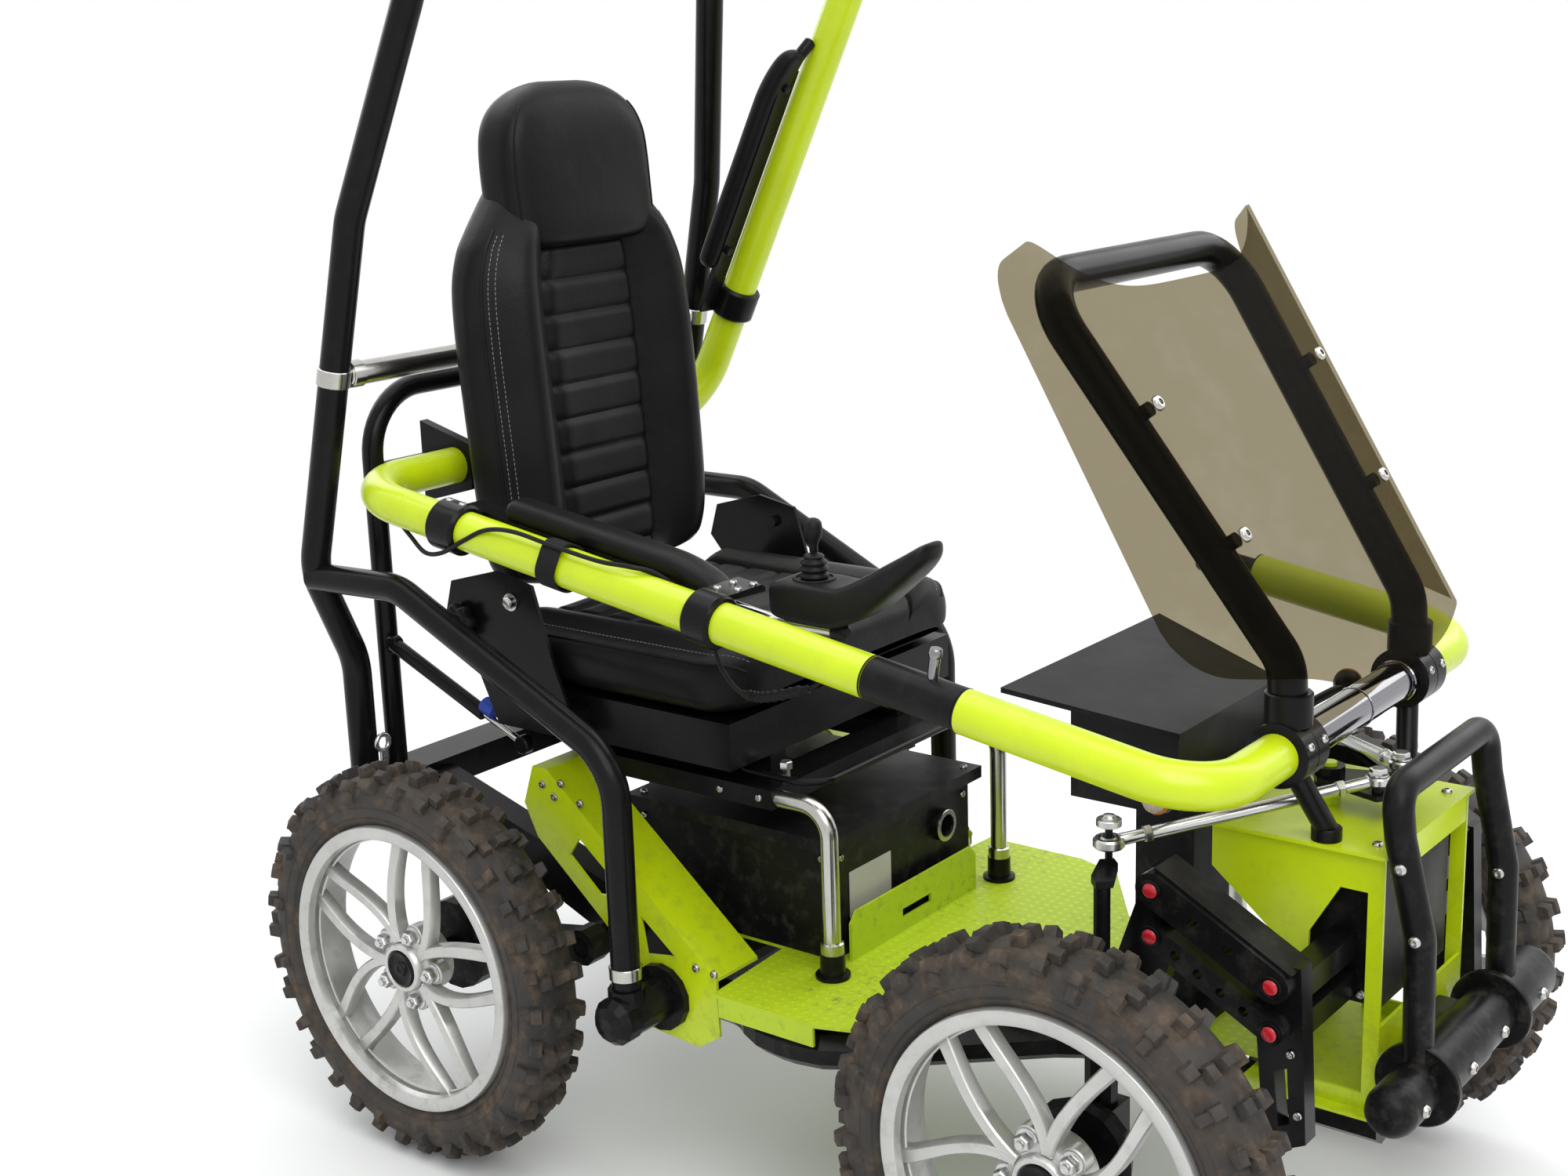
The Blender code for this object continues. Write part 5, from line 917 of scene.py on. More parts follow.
SCREEN_CLAMPS = (0.13, 0.285)


def on_screen(x, height, depth=0.0):
    """A point of the leaning screen: its height along the tubes and its depth behind their axes."""
    return Vector((x, SCREEN_Y + height * math.sin(SCREEN_LEAN) + depth * math.cos(SCREEN_LEAN),
                   SCREEN_Z + height * math.cos(SCREEN_LEAN) - depth * math.sin(SCREEN_LEAN)))


# The screen's posts lean back from a place on its foot
SCREEN_LEAN = math.radians(34.5)
SCREEN_Y = -0.577
SCREEN_Z = 0.77
POST_FOOT_X = 0.158
POST_TOP_X = 0.212
SCREEN_LENGTH = (1.147 - SCREEN_Z) / math.cos(SCREEN_LEAN)


def on_post(side, height, depth):
    """A point of the screen level with one of its posts."""
    return on_screen(side * between(POST_FOOT_X, POST_TOP_X, height / SCREEN_LENGTH), height, depth)


def add_screen_frame():
    """The screen's bent tube with its feet and clamps, and the cross handle in front of it."""
    shape = bmesh.new()
    half = [(POST_FOOT_X, CROSS_Y, 0.708), (POST_FOOT_X, -0.579, SCREEN_Z),
            tuple(on_screen(POST_TOP_X, SCREEN_LENGTH))]
    sweep(shape, rounded(both_sides(half), 0.06, 10), 0.02, 32)
    collar = [(-0.027, 0.03), (-0.0255, 0.034), (-0.0012, 0.034), (0, 0.0328), (0.0012, 0.034),
              (0.0255, 0.034), (0.027, 0.03)]
    for side in (-1, 1):
        x, foot = side * POST_FOOT_X, (side * 0.106, -0.604)
        turned(shape, collar, (x, CROSS_Y, CROSS_Z), (1, 0, 0), 44)
        turned(shape, [(0, 0.0245), (0.0325, 0.0245), (0.034, 0.023), (0.034, 0.0195)], (x, CROSS_Y, 0.708),
               (0, 0, 1), 36)
        turned(shape, [(0, 0.016), (0.0125, 0.016), (0.0137, 0.0148)], (*foot, 0.5723), (0, 0, 1), 30)
        rod(shape, (*foot, 0.583), (x, CROSS_Y, 0.67), 0.012, 24)
        for height in SCREEN_CLAMPS:
            rod(shape, on_post(side, height, -0.01), on_post(side, height, -0.0317), 0.008, 20)
    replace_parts(add_piece("screen_frame_piece", shape, "satin", "frame"), "screen_frame")
    out = on_screen(0, 0, -1) - on_screen(0, 0)
    places = [on_post(side, height, -0.0405) for side in (-1, 1) for height in SCREEN_CLAMPS]
    screw_heads("screen_screws", places, out, 0.0085, "tube", "frame")
    clamp_screws = [(side * x, CROSS_Y - 0.0315, 0.6925) for side in (-1, 1) for x in (0.142, 0.174)]
    screw_heads("clamp_screws", clamp_screws, (0, -0.93, 0.37), 0.0048, "steel", "frame")
    handle = lathe([(-0.1305, 0.022), (0.1305, 0.022)], (0, CROSS_Y, CROSS_Z), (1, 0, 0), 44)
    for x, outer, tall in ((-0.1245, 0.0245, 0.0055), (0.1245, 0.0245, 0.0055), (0.006, 0.0232, 0.0012)):
        ring_band(handle, (x, CROSS_Y, CROSS_Z), (1, 0, 0), 0.0215, outer, tall)
    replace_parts(add_piece("cross_handle_piece", handle, "chrome", "frame"), "cross_handle")


SHEET_THICKNESS = 0.004
SHEET_LOW, SHEET_HIGH = -0.03, 0.485


def sharp_screen_point(side, reach, row):
    """A point of the sheet, folded sharply. Reach is 0 in the middle, 1 at the fold, 2 at the flap's edge."""
    wide, flap = min(reach, 1.0), max(reach - 1.0, 0.0)
    corner = 1 - math.sqrt(max(0.0, 1 - max(0.0, (flap - 0.62) / 0.38) ** 2))
    bottom = SHEET_LOW - 0.034 * (1 - wide ** 2.6) + 0.066 * flap + 0.05 * corner
    top = SHEET_HIGH - 0.075 * (1 - wide ** 4) - 0.006 * flap - 0.048 * corner
    height = between(bottom, top, row)
    share = (height - SHEET_LOW) / (SHEET_HIGH - SHEET_LOW)
    fold = between(0.179, 0.245, share)
    outward = between(0.078, 0.024, share) * flap
    backward = between(0.095, 0.045, share) * flap
    return on_screen(side * (fold * wide + outward), height, backward - 0.038)


def screen_point(side, reach, row):
    """A point of the sheet's middle, with its fold rounded by averaging over a short reach."""
    window = min(0.07, 2.0 - reach, reach)
    points = [sharp_screen_point(side, reach + window * step / 4, row) for step in range(-4, 5)]
    return sum(points, Vector()) / len(points)


def add_windscreen():
    """The smoky sheet: finely divided, so that its fold and its edges are round."""
    across = even_steps(-2, 2, 160)
    rings = [[screen_point(math.copysign(1, place), abs(place), row) for place in across]
             for row in even_steps(0, 1, 48)]
    shape = bmesh.new()
    made = [[shape.verts.new(point) for point in ring] for ring in rings]
    for low, high in zip(made, made[1:]):
        for index in range(len(across) - 1):
            shape.faces.new((low[index], low[index + 1], high[index + 1], high[index]))
    sheet = add_piece("windscreen_piece", shape, "smoke", "frame", 60)
    thickness = sheet.modifiers.new("thickness", "SOLIDIFY")
    thickness.thickness = SHEET_THICKNESS
    thickness.offset = 0
    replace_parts(sheet, "windscreen")


def add_bumper():
    """The front roller with its flanges and the hoop above it."""
    shape = bmesh.new()
    y, z = -0.719, 0.335
    profile = [
        (-0.215, 0.01), (-0.214, 0.015), (-0.211, 0.02), (-0.204, 0.0248), (-0.195, 0.0272),
        (-0.193, 0.0275), (-0.13, 0.0275), (-0.1299, 0.0435), (-0.1285, 0.045), (-0.1215, 0.045),
        (-0.12, 0.0435), (-0.1199, 0.033), (0.0, 0.033), (0.0001, 0.0305), (0.08, 0.0305),
        (0.0801, 0.0435), (0.0815, 0.045), (0.0885, 0.045), (0.09, 0.0435), (0.0901, 0.033),
        (0.2, 0.033), (0.206, 0.031), (0.211, 0.026), (0.214, 0.019), (0.215, 0.013),
    ]
    turned(shape, profile, (0, y, z), (1, 0, 0), 56)
    half = [(0.119, y + 0.003, z), (0.119, y + 0.006, 0.49), (0.122, y + 0.03, 0.595),
            (0.121, y + 0.036, 0.645)]
    sweep(shape, rounded(both_sides(half), 0.05, 10), 0.016, 28)
    block(shape, (-0.05, y + 0.01, z - 0.02), (0.05, -0.6723, z + 0.02), 0.0025)
    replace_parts(add_piece("bumper_piece", shape, "black", "frame", 32), "front_bumper")
    for word, x, side in (("left", 0.0905, 1), ("right", -0.1205, -1)):
        screws = [(x, y + 0.039 * math.cos(turn), z + 0.039 * math.sin(turn))
                  for turn in (math.pi * (step + 0.5) / 3 for step in range(6))]
        screw_heads(f"bumper_flange_{word}", screws, (side, 0, 0), 0.0045, "tube", "frame")
    front = [(-0.175, y - 0.0272, z), (-0.06, y - 0.0328, z), (0.04, y - 0.0303, z), (0.155, y - 0.0328, z)]
    screw_heads("bumper_screws", front, (0, -1, 0), 0.007, "tube", "frame")
    for side, word in SIDES:
        legs = [(side * 0.1368, -0.696, 0.568), (side * 0.1348, -0.713, 0.4935)]
        screw_heads(f"hoop_screws_{word}", legs, (side, 0, 0), 0.0064, "steel", "frame")
    screw_heads("hoop_screw_inner", [(0.1032, -0.713, 0.487)], (-1, 0, 0), 0.0064, "steel", "frame")


# Seat


def divided(low, high, count, lines, reach):
    """Even steps from low to high, with extra ones close to each line."""
    places = even_steps(low, high, count)
    for line in lines:
        extra = [line + share * reach for share in (-1.0, -0.55, -0.25, 0.0, 0.25, 0.55, 1.0)]
        places += [place for place in extra if low < place < high]
    places.sort()
    kept = [places[0]]
    for place in places[1:]:
        if place - kept[-1] > reach * 0.12:
            kept.append(place)
    kept[-1] = high
    return kept


def groove(distance, width):
    """A seam's cross-section: 1 at its line, falling to 0 over its width."""
    share = abs(distance) / width
    return (1 - share) ** 2 * (1 + 0.5 * share) if share < 1 else 0.0


BACK_LOW, BACK_HIGH = 0.716, 1.354
BACK_FRONT, BACK_DEPTH, BACK_LEAN = 0.464, 0.074, 0.05
BACK_ROWS = [
    # Height share, half width, bolster, thickness share, forward shift
    (0.0, 0.15, 0.008, 0.62, 0.0), (0.01, 0.176, 0.014, 0.84, 0.0), (0.04, 0.193, 0.024, 0.97, 0.0),
    (0.12, 0.202, 0.034, 1.0, 0.0), (0.3, 0.205, 0.038, 1.0, 0.0), (0.48, 0.206, 0.038, 1.0, 0.0),
    (0.6, 0.201, 0.036, 1.0, 0.0), (0.67, 0.187, 0.031, 1.0, 0.001), (0.71, 0.17, 0.024, 1.0, 0.003),
    (0.75, 0.148, 0.01, 1.0, 0.004), (0.79, 0.125, 0.0, 0.9, 0.0), (0.83, 0.1, 0.0, 0.7, -0.006),
]
BACK_SEAM = 0.43
BACK_CHANNELS = [(1 + 2 * index) / 28 for index in range(10)]
HEAD_ROWS = [
    # Height share, half width, front and rear behind the back's front line
    (0.672, 0.085, 0.004, 0.02), (0.676, 0.106, -0.01, 0.034), (0.685, 0.121, -0.019, 0.044),
    (0.7, 0.13, -0.024, 0.054), (0.725, 0.1335, -0.026, 0.062), (0.78, 0.1345, -0.026, 0.064),
    (0.84, 0.1345, -0.026, 0.064), (0.885, 0.132, -0.026, 0.063), (0.915, 0.126, -0.025, 0.062),
    (0.942, 0.116, -0.022, 0.058), (0.965, 0.101, -0.016, 0.051), (0.984, 0.08, -0.007, 0.04),
    (0.996, 0.056, 0.004, 0.028), (1.0, 0.036, 0.012, 0.022),
]


def smooth_rows(rows, column):
    """A table of (share, value) read off a smooth curve through one column of rows."""
    points = smooth_path([Vector((row[0], row[column], 0)) for row in rows], 300)
    return [point.x for point in points], [point.y for point in points]


def looked_up(table, share):
    xs, ys = table
    for index in range(len(xs) - 1):
        if share <= xs[index + 1]:
            run = xs[index + 1] - xs[index]
            part = (share - xs[index]) / run if run > 1e-9 else 0.0
            return ys[index] + max(0.0, part) * (ys[index + 1] - ys[index])
    return ys[-1]


def back_height(share):
    return between(BACK_LOW, BACK_HIGH, share)


class Backrest:
    """The backrest's front as a function of height share and share across."""

    def __init__(self):
        self.tables = [smooth_rows(BACK_ROWS, column) for column in (1, 2, 3, 4)]

    def section(self, share):
        return [looked_up(table, share) for table in self.tables]

    def front(self, share, across):
        """The front's Y and the half width at this share of the height."""
        half, bulge, thick, shift = self.section(share)
        edge = abs(across)
        y = BACK_FRONT + BACK_LEAN * share - shift
        y -= bulge * math.exp(-((edge - 0.7) / 0.19) ** 2)
        y += 0.014 * groove(edge - BACK_SEAM, 0.085)
        panel = 1 - min(1.0, max(0.0, (edge - BACK_SEAM + 0.05) / 0.05))
        for line in BACK_CHANNELS:
            y += 0.0052 * panel * groove(share - line, 0.018)
        y -= 0.002 * panel
        rounding = max(0.0, (edge - 0.72) / 0.28)
        return y + BACK_DEPTH * thick * 0.46 * (1 - math.sqrt(max(0.0, 1 - rounding ** 2.6))), half

    def seam_point(self, side, share, across):
        y, half = self.front(share, across)
        return Vector((side * half * across, y - 0.0004, back_height(share)))


def backrest_mesh(back):
    across = divided(-1.0, 1.0, 72, (-BACK_SEAM, BACK_SEAM), 0.08)
    rings = []
    for share in divided(0.0, BACK_ROWS[-1][0], 110, BACK_CHANNELS, 0.018):
        half, _, thick, shift = back.section(share)
        z = back_height(share)
        ring = []
        for place in across:
            reach = math.copysign(math.sin(min(1.0, abs(place)) * math.pi / 2) ** 0.9, place)
            y, wide = back.front(share, reach)
            ring.append(Vector((wide * reach, y, z)))
        edge_y = ring[-1].y
        rear = BACK_FRONT + BACK_LEAN * share - shift + BACK_DEPTH * thick + 0.003
        for turn in even_steps(0, math.pi, 40)[1:-1]:
            deep = abs(math.sin(turn)) ** 0.62
            ring.append(Vector((half * boxy(math.cos(turn), 0.42), edge_y + (rear - edge_y) * deep, z)))
        rings.append(ring)
    return lofted(rings)


def head_section(share, tables):
    """The headrest's half width, middle Y and half depth at a height share."""
    half, front, rear = [looked_up(table, share) for table in tables]
    return half, BACK_FRONT + BACK_LEAN * share + (front + rear) / 2, (rear - front) / 2


def head_ring(share, tables, sides=72):
    """One section of the headrest: a rounded oblong whose front is slightly domed."""
    half, middle, depth = head_section(share, tables)
    ring = []
    for turn in turns(sides):
        x = half * boxy(math.cos(turn), 0.42)
        y = middle - depth * boxy(math.sin(turn), 0.55)
        dome = 0.005 * (1 - (x / half) ** 2) * (math.sin(turn) > 0)
        ring.append(Vector((x, y - dome, back_height(share))))
    return ring


def head_seam_point(share, side, tables, across):
    """A point just off the headrest's front near its side."""
    half, middle, depth = head_section(share, tables)
    cosine = across ** (1 / 0.42)
    y = middle - depth * (1 - cosine ** 2) ** (0.55 / 2)
    return Vector((side * half * across, y - 0.005 * (1 - across ** 2) - 0.0004, back_height(share)))


CUSHION_FRONT, CUSHION_REAR = 0.072, 0.452
CUSHION_SEAM = 0.62
CUSHION_CHANNELS = (0.17, 0.33, 0.48, 0.62, 0.76, 0.89)
CUSHION_BOTTOM = 0.6125


def eased(distance, radius):
    """How far a rounded edge has dropped at a distance in from it, as a share of its radius."""
    return 1 - math.sqrt(max(0.0, 1 - max(0.0, 1 - distance / radius) ** 2))


def cushion_top(share, across):
    """The cushion's top: its height and half width at a share of its length."""
    forward = share * (CUSHION_REAR - CUSHION_FRONT)
    behind = (1 - share) * (CUSHION_REAR - CUSHION_FRONT)
    half = 0.25 - 0.062 * eased(forward, 0.062) - 0.012 * eased(behind, 0.02)
    edge = abs(across)
    z = 0.684 - 0.03 * eased(forward, 0.034) - 0.014 * eased(behind, 0.02)
    z += 0.008 * (1 - edge ** 2)
    z += 0.012 * math.exp(-((edge - 0.78) / 0.13) ** 2)
    z -= 0.007 * groove(edge - CUSHION_SEAM, 0.045)
    panel = 1 - min(1.0, max(0.0, (edge - CUSHION_SEAM + 0.03) / 0.04))
    for line in CUSHION_CHANNELS:
        z -= 0.004 * panel * groove(share - line, 0.03)
    return z - 0.024 * eased(1 - edge, 0.1), half


def cushion_mesh():
    across = divided(-1.0, 1.0, 76, (-CUSHION_SEAM, CUSHION_SEAM), 0.06)
    edge = [0.965, 0.98, 0.99, 0.997, 1.0]
    across = [-place for place in reversed(edge)] + [place for place in across if abs(place) < 0.955] + edge
    lengths = divided(0.0, 1.0, 70, CUSHION_CHANNELS, 0.03)
    lengths = [0.0, 0.0006, 0.0025, 0.006, 0.01] + [share for share in lengths if 0.012 < share < 0.99] + [
        0.993, 0.997, 0.9994, 1.0]
    rings = []
    for share in lengths:
        forward = share * (CUSHION_REAR - CUSHION_FRONT)
        y = CUSHION_FRONT + forward
        bottom = CUSHION_BOTTOM + 0.026 * eased(forward, 0.06)
        ring = []
        for place in across:
            z, half = cushion_top(share, place)
            ring.append(Vector((half * place, y, z)))
        edge_z = ring[-1].z
        for turn in even_steps(0, math.pi, 40)[1:-1]:
            wide = boxy(math.cos(turn), 0.22)
            deep = abs(math.sin(turn)) ** 0.4
            bulge = 0.004 * math.sin(math.pi * deep) * abs(wide)
            x = (half + bulge) * wide * (1 - 0.05 * deep)
            ring.append(Vector((x, y, edge_z + (bottom - edge_z) * deep)))
        rings.append(ring)
    return lofted(rings)


def stitched(shape, path, pitch=0.0062, radius=0.00055):
    """A row of thread stitches along a path."""
    travelled, due = 0.0, pitch
    for start, end in zip(path, path[1:]):
        run = (end - start).length
        if run < 1e-7:
            continue
        direction = (end - start) / run
        while due <= travelled + run:
            place = start + direction * (due - travelled)
            turned(shape, [(-pitch * 0.34, radius * 0.5), (-pitch * 0.22, radius), (pitch * 0.22, radius),
                           (pitch * 0.34, radius * 0.5)], place, direction, 6)
            due += pitch
        travelled += run


def add_seat():
    back = Backrest()
    piece = add_piece("backrest_piece", backrest_mesh(back), "leather", "backrest", 60)
    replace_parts(piece, "seat_back")
    cushion = add_piece("cushion_piece", cushion_mesh(), "leather", "seat", 60)
    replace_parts(cushion, "seat_cushion")

    tables = [smooth_rows(HEAD_ROWS, column) for column in (1, 2, 3)]
    head = [head_ring(share, tables) for share in crowded_steps(HEAD_ROWS[0][0], HEAD_ROWS[-1][0], 56)]
    headrest = add_piece("headrest_piece", lofted(head), "leather", "backrest", 60)

    piping, thread = bmesh.new(), bmesh.new()
    shares = even_steps(0.03, 0.72, 90)
    for side in (-1, 1):
        sweep(piping, [back.seam_point(side, share, 0.952) for share in shares], 0.002, 10, 1.0)
        for across in (0.925, 0.895):
            stitched(thread, [back.seam_point(side, share, across) for share in shares[1:-1]])
        upper = even_steps(0.7, 0.955, 40)
        sweep(piping, [head_seam_point(share, side, tables, 0.93) for share in upper], 0.0016, 8, 1.0)
    add_piece("backrest_piping", piping, "leather", "backrest")
    add_piece("backrest_stitches", thread, "thread", "backrest")

    piping, thread = bmesh.new(), bmesh.new()
    for side in (-1, 1):
        edge, row = [], []
        for share in even_steps(0.02, 0.98, 60):
            y = between(CUSHION_FRONT, CUSHION_REAR, share)
            for path, across, lift in ((edge, 0.955, 0.0), (row, 0.9, 0.0003)):
                z, half = cushion_top(share, across)
                path.append(Vector((side * half * across, y, z + lift)))
        sweep(piping, edge, 0.0018, 10, 1.0)
        stitched(thread, row)
    add_piece("cushion_piping", piping, "leather", "seat")
    add_piece("cushion_stitches", thread, "thread", "seat")


def add_arm_pads():
    stations = [
        # Share of the length, width, thickness, and how far the pad bends down
        (0.0, 0.3, 0.25, 0.0), (0.006, 0.62, 0.55, 0.0), (0.022, 0.88, 0.82, 0.0), (0.06, 1.0, 0.98, 0.0),
        (0.3, 1.0, 1.0, 0.0), (0.7, 1.0, 1.0, 0.0), (0.8, 1.0, 1.0, 0.001), (0.88, 0.99, 0.97, 0.005),
        (0.94, 0.93, 0.92, 0.01), (0.975, 0.8, 0.8, 0.014), (0.993, 0.56, 0.55, 0.016),
        (1.0, 0.28, 0.25, 0.017),
    ]
    tables = [smooth_rows(stations, column) for column in (1, 2, 3)]
    start, end = 0.235, 0.575
    for side, word in SIDES:
        body = f"bar_{word}"
        rings = []
        for share in crowded_steps(0, 1, 70):
            wide, tall, drop = [looked_up(table, share) for table in tables]
            distance = between(start, end, share)
            rings.append([bar_point(side, distance, 0.027 - drop + 0.0155 * tall * boxy(math.sin(turn), 0.8),
                                    0.287 + 0.022 * wide * boxy(math.cos(turn), 0.8)) for turn in turns(40)])
        piece = add_piece(f"arm_pad_{word}_piece", lofted(rings), "leather", body, 60)
        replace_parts(piece, f"arm_pad_{word}")
        clamp = bar_ring(side, 0.188, 0.0075, 0.022)
        rail = [(0.279, 0.01), (0.309, 0.01), (0.309, 0.018), (0.279, 0.018)]
        loft(clamp, [[bar_point(side, distance, lift, x) for x, lift in rail] for distance in (0.17, 0.545)])
        for distance in (0.27, 0.52):
            turned(clamp, [(0, 0.006), (0.006, 0.006), (0.007, 0.004)],
                   bar_point(side, distance, 0.0105, 0.29), -bar_up(side), 16)
        tip = [bar_point(side, distance, lift, x) for distance, lift, x in
               ((0.548, 0.013, 0.292), (0.57, 0.011, 0.3), (0.59, 0.01, 0.312))]
        sweep(clamp, smooth_path(tip, 16), 0.0085, 20, 0.8)
        add_piece(f"arm_clamp_{word}", clamp, "satin", body)
        screws = [bar_point(side, distance, BAR_RADIUS + 0.0068) for distance in (0.177, 0.199)]
        screw_heads(f"arm_clamp_screws_{word}", screws, bar_up(side), 0.0046, "steel", body)


JOYSTICK_STATIONS = [
    # Y, top, bottom, half width, how boxy
    (-0.0155, 0.801, 0.788, 0.024, 0.5), (-0.017, 0.806, 0.779, 0.03, 0.35),
    (-0.022, 0.8105, 0.7715, 0.0345, 0.28), (-0.04, 0.8125, 0.768, 0.036, 0.25),
    (-0.076, 0.8125, 0.766, 0.036, 0.25), (-0.096, 0.812, 0.7655, 0.0355, 0.28),
    (-0.112, 0.815, 0.769, 0.035, 0.35), (-0.14, 0.829, 0.783, 0.0345, 0.45),
    (-0.17, 0.846, 0.806, 0.0335, 0.5), (-0.196, 0.861, 0.829, 0.031, 0.55),
    (-0.209, 0.869, 0.842, 0.027, 0.6), (-0.216, 0.8715, 0.851, 0.021, 0.7),
    (-0.219, 0.869, 0.858, 0.012, 0.8),
]
JOYSTICK_CABLE = [
    (-0.25, -0.08, 0.764), (-0.251, -0.083, 0.738), (-0.256, -0.076, 0.708), (-0.264, -0.056, 0.687),
    (-0.285, -0.011, 0.676), (-0.297, 0.013, 0.679), (-0.305, 0.033, 0.703), (-0.308, 0.044, 0.733),
    (-0.306, 0.062, 0.765), (-0.312, 0.088, 0.793), (-0.33, 0.108, 0.815), (-0.348, 0.132, 0.8235),
    (-0.356, 0.17, 0.827), (-0.358, 0.238, 0.837), (-0.359, 0.3, 0.847), (-0.36, 0.345, 0.844),
    (-0.364, 0.38, 0.828), (-0.366, 0.415, 0.81), (-0.362, 0.45, 0.805), (-0.348, 0.49, 0.818),
    (-0.33, 0.528, 0.828), (-0.3, 0.572, 0.833), (-0.272, 0.61, 0.833), (-0.25, 0.644, 0.83),
]


def joystick_housing(x, y):
    """The rounded box that carries the stick, with a ring round its boot."""
    rows = [(-along, *sizes) for along, *sizes in JOYSTICK_STATIONS]
    tables = [smooth_rows(rows, column) for column in (1, 2, 3, 4)]
    rings = []
    for along in crowded_steps(rows[0][0], rows[-1][0], 70):
        top, bottom, half, power = [looked_up(table, along) for table in tables]
        middle, rise = (top + bottom) / 2, (top - bottom) / 2
        rings.append([Vector((x + half * boxy(math.cos(turn), power), -along,
                              middle + rise * boxy(math.sin(turn), power))) for turn in turns(48)])
    housing = lofted(rings)
    ring_band(housing, (x, y, 0.8128), (0, 0, 1), 0.0212, 0.0245, 0.0014)
    return housing


def add_joystick_cable():
    """The cable from the box to the seat, with a ribbed connector near its start."""
    path = smooth_path(JOYSTICK_CABLE[3:6], 40)
    rings = []
    for index, point in enumerate(path):
        share = index / (len(path) - 1)
        ripple = 0.0007 * math.sin(share * math.pi * 22)
        size = 0.0062 + ripple if 0.08 < share < 0.92 else 0.0045
        ahead = (path[min(index + 1, len(path) - 1)] - path[max(index - 1, 0)]).normalized()
        rings.append(circle(point, *square_to(ahead), size, 20))
    plug = add_piece("joystick_connector", lofted(rings), "cable", "bar_right", 60)
    line = smooth_path(JOYSTICK_CABLE, 260)
    cable = bmesh.new()
    sweep(cable, line, 0.0028, 12)
    piece = add_piece("joystick_cable", cable, "cable", "bar_right", 60)


def add_joystick():
    x, y, pivot = -0.25, -0.058, 0.818
    boot = lathe([(-0.0115, 0.004), (-0.0105, 0.006), (-0.006, 0.014), (-0.003, 0.0166), (-0.001, 0.0166),
                  (0.001, 0.014), (0.003, 0.014), (0.005, 0.0164), (0.0066, 0.0164), (0.0086, 0.0134),
                  (0.0105, 0.0134), (0.0125, 0.0152), (0.014, 0.015), (0.0165, 0.011), (0.018, 0.011),
                  (0.02, 0.0119), (0.0218, 0.01), (0.023, 0.0066), (0.0237, 0.004)], (x, y, pivot),
                 (0, 0, 1), 44)
    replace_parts(add_piece("boot_piece", boot, "plastic", "boot", 70), "joystick_boot")
    stick = lathe([(0.0245, 0.0042), (0.025, 0.0047), (0.033, 0.005), (0.037, 0.0066), (0.041, 0.0088),
                   (0.047, 0.0102), (0.053, 0.0104), (0.058, 0.0096), (0.0612, 0.007), (0.0628, 0.0035)],
                  (x, y, pivot), (0, 0, 1), 36)
    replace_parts(add_piece("stick_piece", stick, "plastic", "stick", 70), "joystick_stick")
    housing = joystick_housing(x, y)
    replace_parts(add_piece("joystick_housing", housing, "plastic", "bar_right", 50), "joystick_box")
    clamp = bar_ring(-1, 0.59, 0.0075, 0.019)
    plate = [(0.334, 0.0235), (0.334, 0.03), (0.27, 0.03), (0.262, 0.025), (0.262, 0.02)]
    loft(clamp, [[on_bar(-1, distance, lift, x) for x, lift in plate] for distance in (0.573, 0.607)])
    add_piece("joystick_clamp", clamp, "satin", "bar_right")
    screws = [on_bar(-1, distance, 0.0296, across) for distance, across in
              ((0.582, 0.318), (0.582, 0.29), (0.6, 0.304), (0.6, 0.276))]
    screw_heads("joystick_clamp_screws", screws, bar_up(-1), 0.0048, "steel", "bar_right")
    arm = bmesh.new()
    start = on_bar(-1, 0.59, 0.012, BAR_X - 0.026)
    sweep(arm, rounded([start, (x - 0.012, start.y - 0.02, 0.76), (x - 0.006, -0.1, 0.758)], 0.03, 8),
          0.008, 24)
    add_piece("joystick_arm", arm, "tube", "bar_right")
    end = lathe([(-0.01, 0.0095), (0.0, 0.01), (0.006, 0.0085), (0.009, 0.005)], (x - 0.006, -0.098, 0.758),
                (0, -1, 0), 24)
    turned(end, [(-0.01, 0.0045), (0.0, 0.0065), (0.004, 0.0068), (0.0065, 0.005)], (x, -0.08, 0.764),
           (0, 0, -1), 20)
    add_piece("joystick_arm_end", end, "plastic", "bar_right")
    add_joystick_cable()


KNOB_PLACE = (-0.2685, 0.486, 0.694)


def add_seat_knob():
    """The six-lobed knob that locks the backrest, its cap and the backrest's pivot bolts."""
    x, y, z = KNOB_PLACE
    rings = []
    for along, size in ((0.0005, 0.72), (0.0015, 0.84), (0.004, 0.96), (0.011, 1.0), (0.017, 0.97),
                        (0.0195, 0.86), (0.0203, 0.6)):
        radii = [(turn, (0.021 + 0.0033 * math.cos(6 * turn)) * size) for turn in turns(72)]
        rings.append([Vector((x - along, y + radius * math.cos(turn), z + radius * math.sin(turn)))
                      for turn, radius in radii])
    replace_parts(add_piece("recline_knob_piece", lofted(rings), "plastic", "knob", 60), "recline_knob")
    cap = lathe([(0, 0.0105), (0.0012, 0.0105), (0.002, 0.009), (0.0021, 0.004)], (x - 0.0203, y, z),
                (-1, 0, 0), 28)
    add_piece("recline_knob_cap", cap, "satin", "knob")
    for side, word in SIDES:
        screw_heads(f"recline_bolt_{word}", [(side * 0.269, 0.404, 0.728)], (side, 0, 0), 0.0085, "steel",
                    "seat", hexagon=True)


